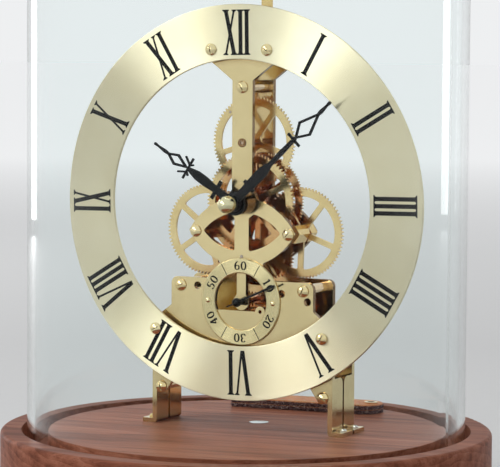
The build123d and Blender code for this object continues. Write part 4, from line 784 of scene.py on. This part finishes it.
def seconds_figures():
    """The numbers and division lines of the seconds dial."""
    foot = FIGURE_MIDDLE - FIGURE_HEIGHT / 2
    for second in FIGURE_SECONDS:
        angle = DEGREES_A_SECOND * second
        strokes = [turned_out(stroke, foot, angle) for stroke in figure_strokes(str(second))]
        printed(f"seconds_{second}", strokes, DIAL_FACE, DIAL_MIDDLE)
    half = TICK_WIDTH / 2
    line = [(-half, 0), (half, 0), (half, TICK_OUTER - TICK_INNER), (-half, TICK_OUTER - TICK_INNER)]
    ticks = [turned_out(line, TICK_INNER, DEGREES_A_SECOND * second) for second in TICK_SECONDS]
    printed("seconds_lines", ticks, DIAL_FACE, DIAL_MIDDLE)


def tag_outline(inset):
    """The tag's outline, drawn in from its edge, with a round right end."""
    half_length = TAG_LENGTH / 2 - inset
    half_width = TAG_WIDTH / 2 - inset
    corner = max(TAG_ROUND - inset, TAG_LEAST_ROUND)
    round_middle = (TAG_LENGTH - TAG_WIDTH) / 2
    points = []
    for step in range(TAG_END_STEPS + 1):
        angle = radians(-90 + 180 * step / TAG_END_STEPS)
        points.append((round_middle + half_width * cos(angle), half_width * sin(angle)))
    for side, start in ((1, 90), (-1, 180)):
        for step in range(TAG_CORNER_STEPS + 1):
            angle = radians(start + 90 * step / TAG_CORNER_STEPS)
            points.append((corner - half_length + corner * cos(angle),
                           side * (half_width - corner) + corner * sin(angle)))
    return points


def level_loop(work, points, level):
    """New corners of a mesh, along points at one height."""
    return [work.verts.new((x, y, level)) for x, y in points]


def wall(work, below, above):
    """Quads between two loops of corners."""
    count = len(below)
    for i in range(count):
        j = (i + 1) % count
        work.faces.new((below[i], below[j], above[j], above[i]))


def tag_body(height):
    """The mesh of the tag, with soft edges, a seam round its side and a hole."""
    work = bmesh.new()
    hole_middle = TAG_LENGTH / 2 - TAG_HOLE_INSET
    angles = [2 * pi * i / TAG_HOLE_STEPS for i in range(TAG_HOLE_STEPS)]
    circle = [(hole_middle + TAG_HOLE * cos(angle), TAG_HOLE * sin(angle)) for angle in angles]
    levels = [(inset, share * height + rise) for share, points in TAG_SIDE for inset, rise in points]
    rims = [level_loop(work, tag_outline(inset), level) for inset, level in levels]
    hole = [level_loop(work, circle, level) for level in (0.0, height)]
    for below, above in zip(rims, rims[1:]):
        wall(work, below, above)
    wall(work, *hole)
    for outer, inner in ((rims[0], hole[0]), (rims[-1], hole[1])):
        pairs = [pair for loop in (outer, inner) for pair in zip(loop, loop[1:] + loop[:1])]
        edges = [work.edges.get(pair) for pair in pairs]
        bmesh.ops.triangle_fill(work, use_beauty=True, edges=edges)
    bmesh.ops.recalc_face_normals(work, faces=work.faces)
    return work


def tag_stitches(height):
    """The mesh of the stitches on the tag's top."""
    work = bmesh.new()
    along = STITCH_START - TAG_LENGTH / 2
    while along < (TAG_LENGTH - TAG_WIDTH) / 2:
        for side in (-1, 1):
            centre = Vector((along, side * (TAG_WIDTH / 2 - STITCH_INSET), height - STITCH_SINK))
            matrix = Matrix.Translation(centre) @ Matrix.Diagonal((*STITCH_SIZE, 1.0))
            bmesh.ops.create_uvsphere(work, u_segments=STITCH_SIDES, v_segments=STITCH_RINGS, radius=1.0,
                                      matrix=matrix)
        along += STITCH_STEP
    return work


def leather_tag():
    """The stitched leather tag, which stands for the plain one and lies in its box."""
    low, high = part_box("key_tag")
    height = (high.z - low.z) / MM
    body, stitches = tag_body(height), tag_stitches(height)
    turn = Matrix.Rotation(radians(TAG_TURN), 4, "Z")
    for work in (body, stitches):
        bmesh.ops.transform(work, matrix=turn, verts=work.verts)
        bmesh.ops.scale(work, vec=(MM, MM, MM), verts=work.verts)
    shift = [0.0, 0.0, low.z]
    for axis in range(2):
        reach = [vert.co[axis] for vert in body.verts]
        shift[axis] = (low[axis] + high[axis] - min(reach) - max(reach)) / 2
    for work in (body, stitches):
        bmesh.ops.translate(work, vec=Vector(shift), verts=work.verts)
    tag = new_piece("leather_tag", body, "leather")
    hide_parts("key_tag")
    for face in tag.data.polygons:
        face.use_smooth = abs(face.normal.z) < FLAT_RISE
    threads = new_piece("tag_stitches", stitches, "thread")
    for face in threads.data.polygons:
        face.use_smooth = True


def camera():
    """The camera at the photograph's place and angle."""
    yaw, pitch, roll = (radians(angle) for angle in (CAMERA_YAW, CAMERA_PITCH, CAMERA_ROLL))
    ahead = Vector((-sin(yaw) * cos(pitch), cos(yaw) * cos(pitch), sin(pitch)))
    right = Vector((cos(yaw), sin(yaw), 0.0))
    up = right.cross(ahead)
    turned_right = right * cos(roll) + up * sin(roll)
    turned_up = up * cos(roll) - right * sin(roll)
    optics = bpy.data.cameras.new("camera")
    optics.sensor_width = SENSOR
    optics.sensor_fit = "HORIZONTAL"
    optics.lens = SENSOR * FOCAL_PIXELS / FRAME_WIDTH
    optics.clip_start = CLIP_START
    optics.clip_end = CLIP_END
    stand = bpy.data.objects.new("camera", optics)
    matrix = Matrix((turned_right, turned_up, -ahead)).transposed().to_4x4()
    matrix.translation = Vector(CAMERA_PLACE) * MM
    stand.matrix_world = matrix
    bpy.context.scene.collection.objects.link(stand)
    bpy.context.scene.camera = stand


def lamp(name, place, size, power):
    """A soft box aimed at the movement."""
    light = bpy.data.lights.new(name, "AREA")
    light.shape = "RECTANGLE"
    light.size, light.size_y = size
    light.energy = power
    stand = bpy.data.objects.new(name, light)
    stand.location = place
    stand.rotation_euler = (LAMP_TARGET - Vector(place)).to_track_quat("-Z", "Y").to_euler()
    bpy.context.scene.collection.objects.link(stand)


def pale_floor():
    """A plain pale floor."""
    bpy.ops.mesh.primitive_circle_add(vertices=FLOOR_SIDES, radius=FLOOR_RADIUS, fill_type="NGON",
                                      location=(0, 0, 0))
    floor = bpy.context.object
    floor.name = "floor"
    graph = Graph("floor")
    place = graph.place()
    away = graph.share(graph.measure("LENGTH", place), FLOOR_GLOW_FROM, FLOOR_GLOW_TO)
    grain = graph.noise(place, scale=220.0, detail=3.0)
    graph.set(Base_Color=graph.mix(grain, *FLOOR), Roughness=0.75,
              Emission_Color=SURROUND, Emission_Strength=graph.math("MULTIPLY", away, FLOOR_GLOW))
    dress(floor, graph.material)


def surround():
    """An even pale surround, with its own strength for each kind of ray."""
    world = bpy.data.worlds.new("surround")
    bpy.context.scene.world = world
    world.use_nodes = True
    tree = world.node_tree
    background = tree.nodes["Background"]
    background.inputs["Color"].default_value = (*SURROUND, 1.0)
    path = tree.nodes.new("ShaderNodeLightPath")
    strength = tree.nodes.new("ShaderNodeValue").outputs[0]
    strength.default_value = SURROUND_LIGHT
    for kind, level in SURROUND_LEVELS:
        node = tree.nodes.new("ShaderNodeMapRange")
        tree.links.new(path.outputs[kind], node.inputs["Value"])
        tree.links.new(strength, node.inputs["To Min"])
        node.inputs["To Max"].default_value = level
        strength = node.outputs[0]
    tree.links.new(strength, background.inputs["Strength"])


hour_numerals()
seconds_figures()
leather_tag()
camera()
pale_floor()
for name, (place, size, power) in LAMPS.items():
    lamp(name, place, size, power)
surround()
bpy.context.scene.view_settings.view_transform = "Standard"
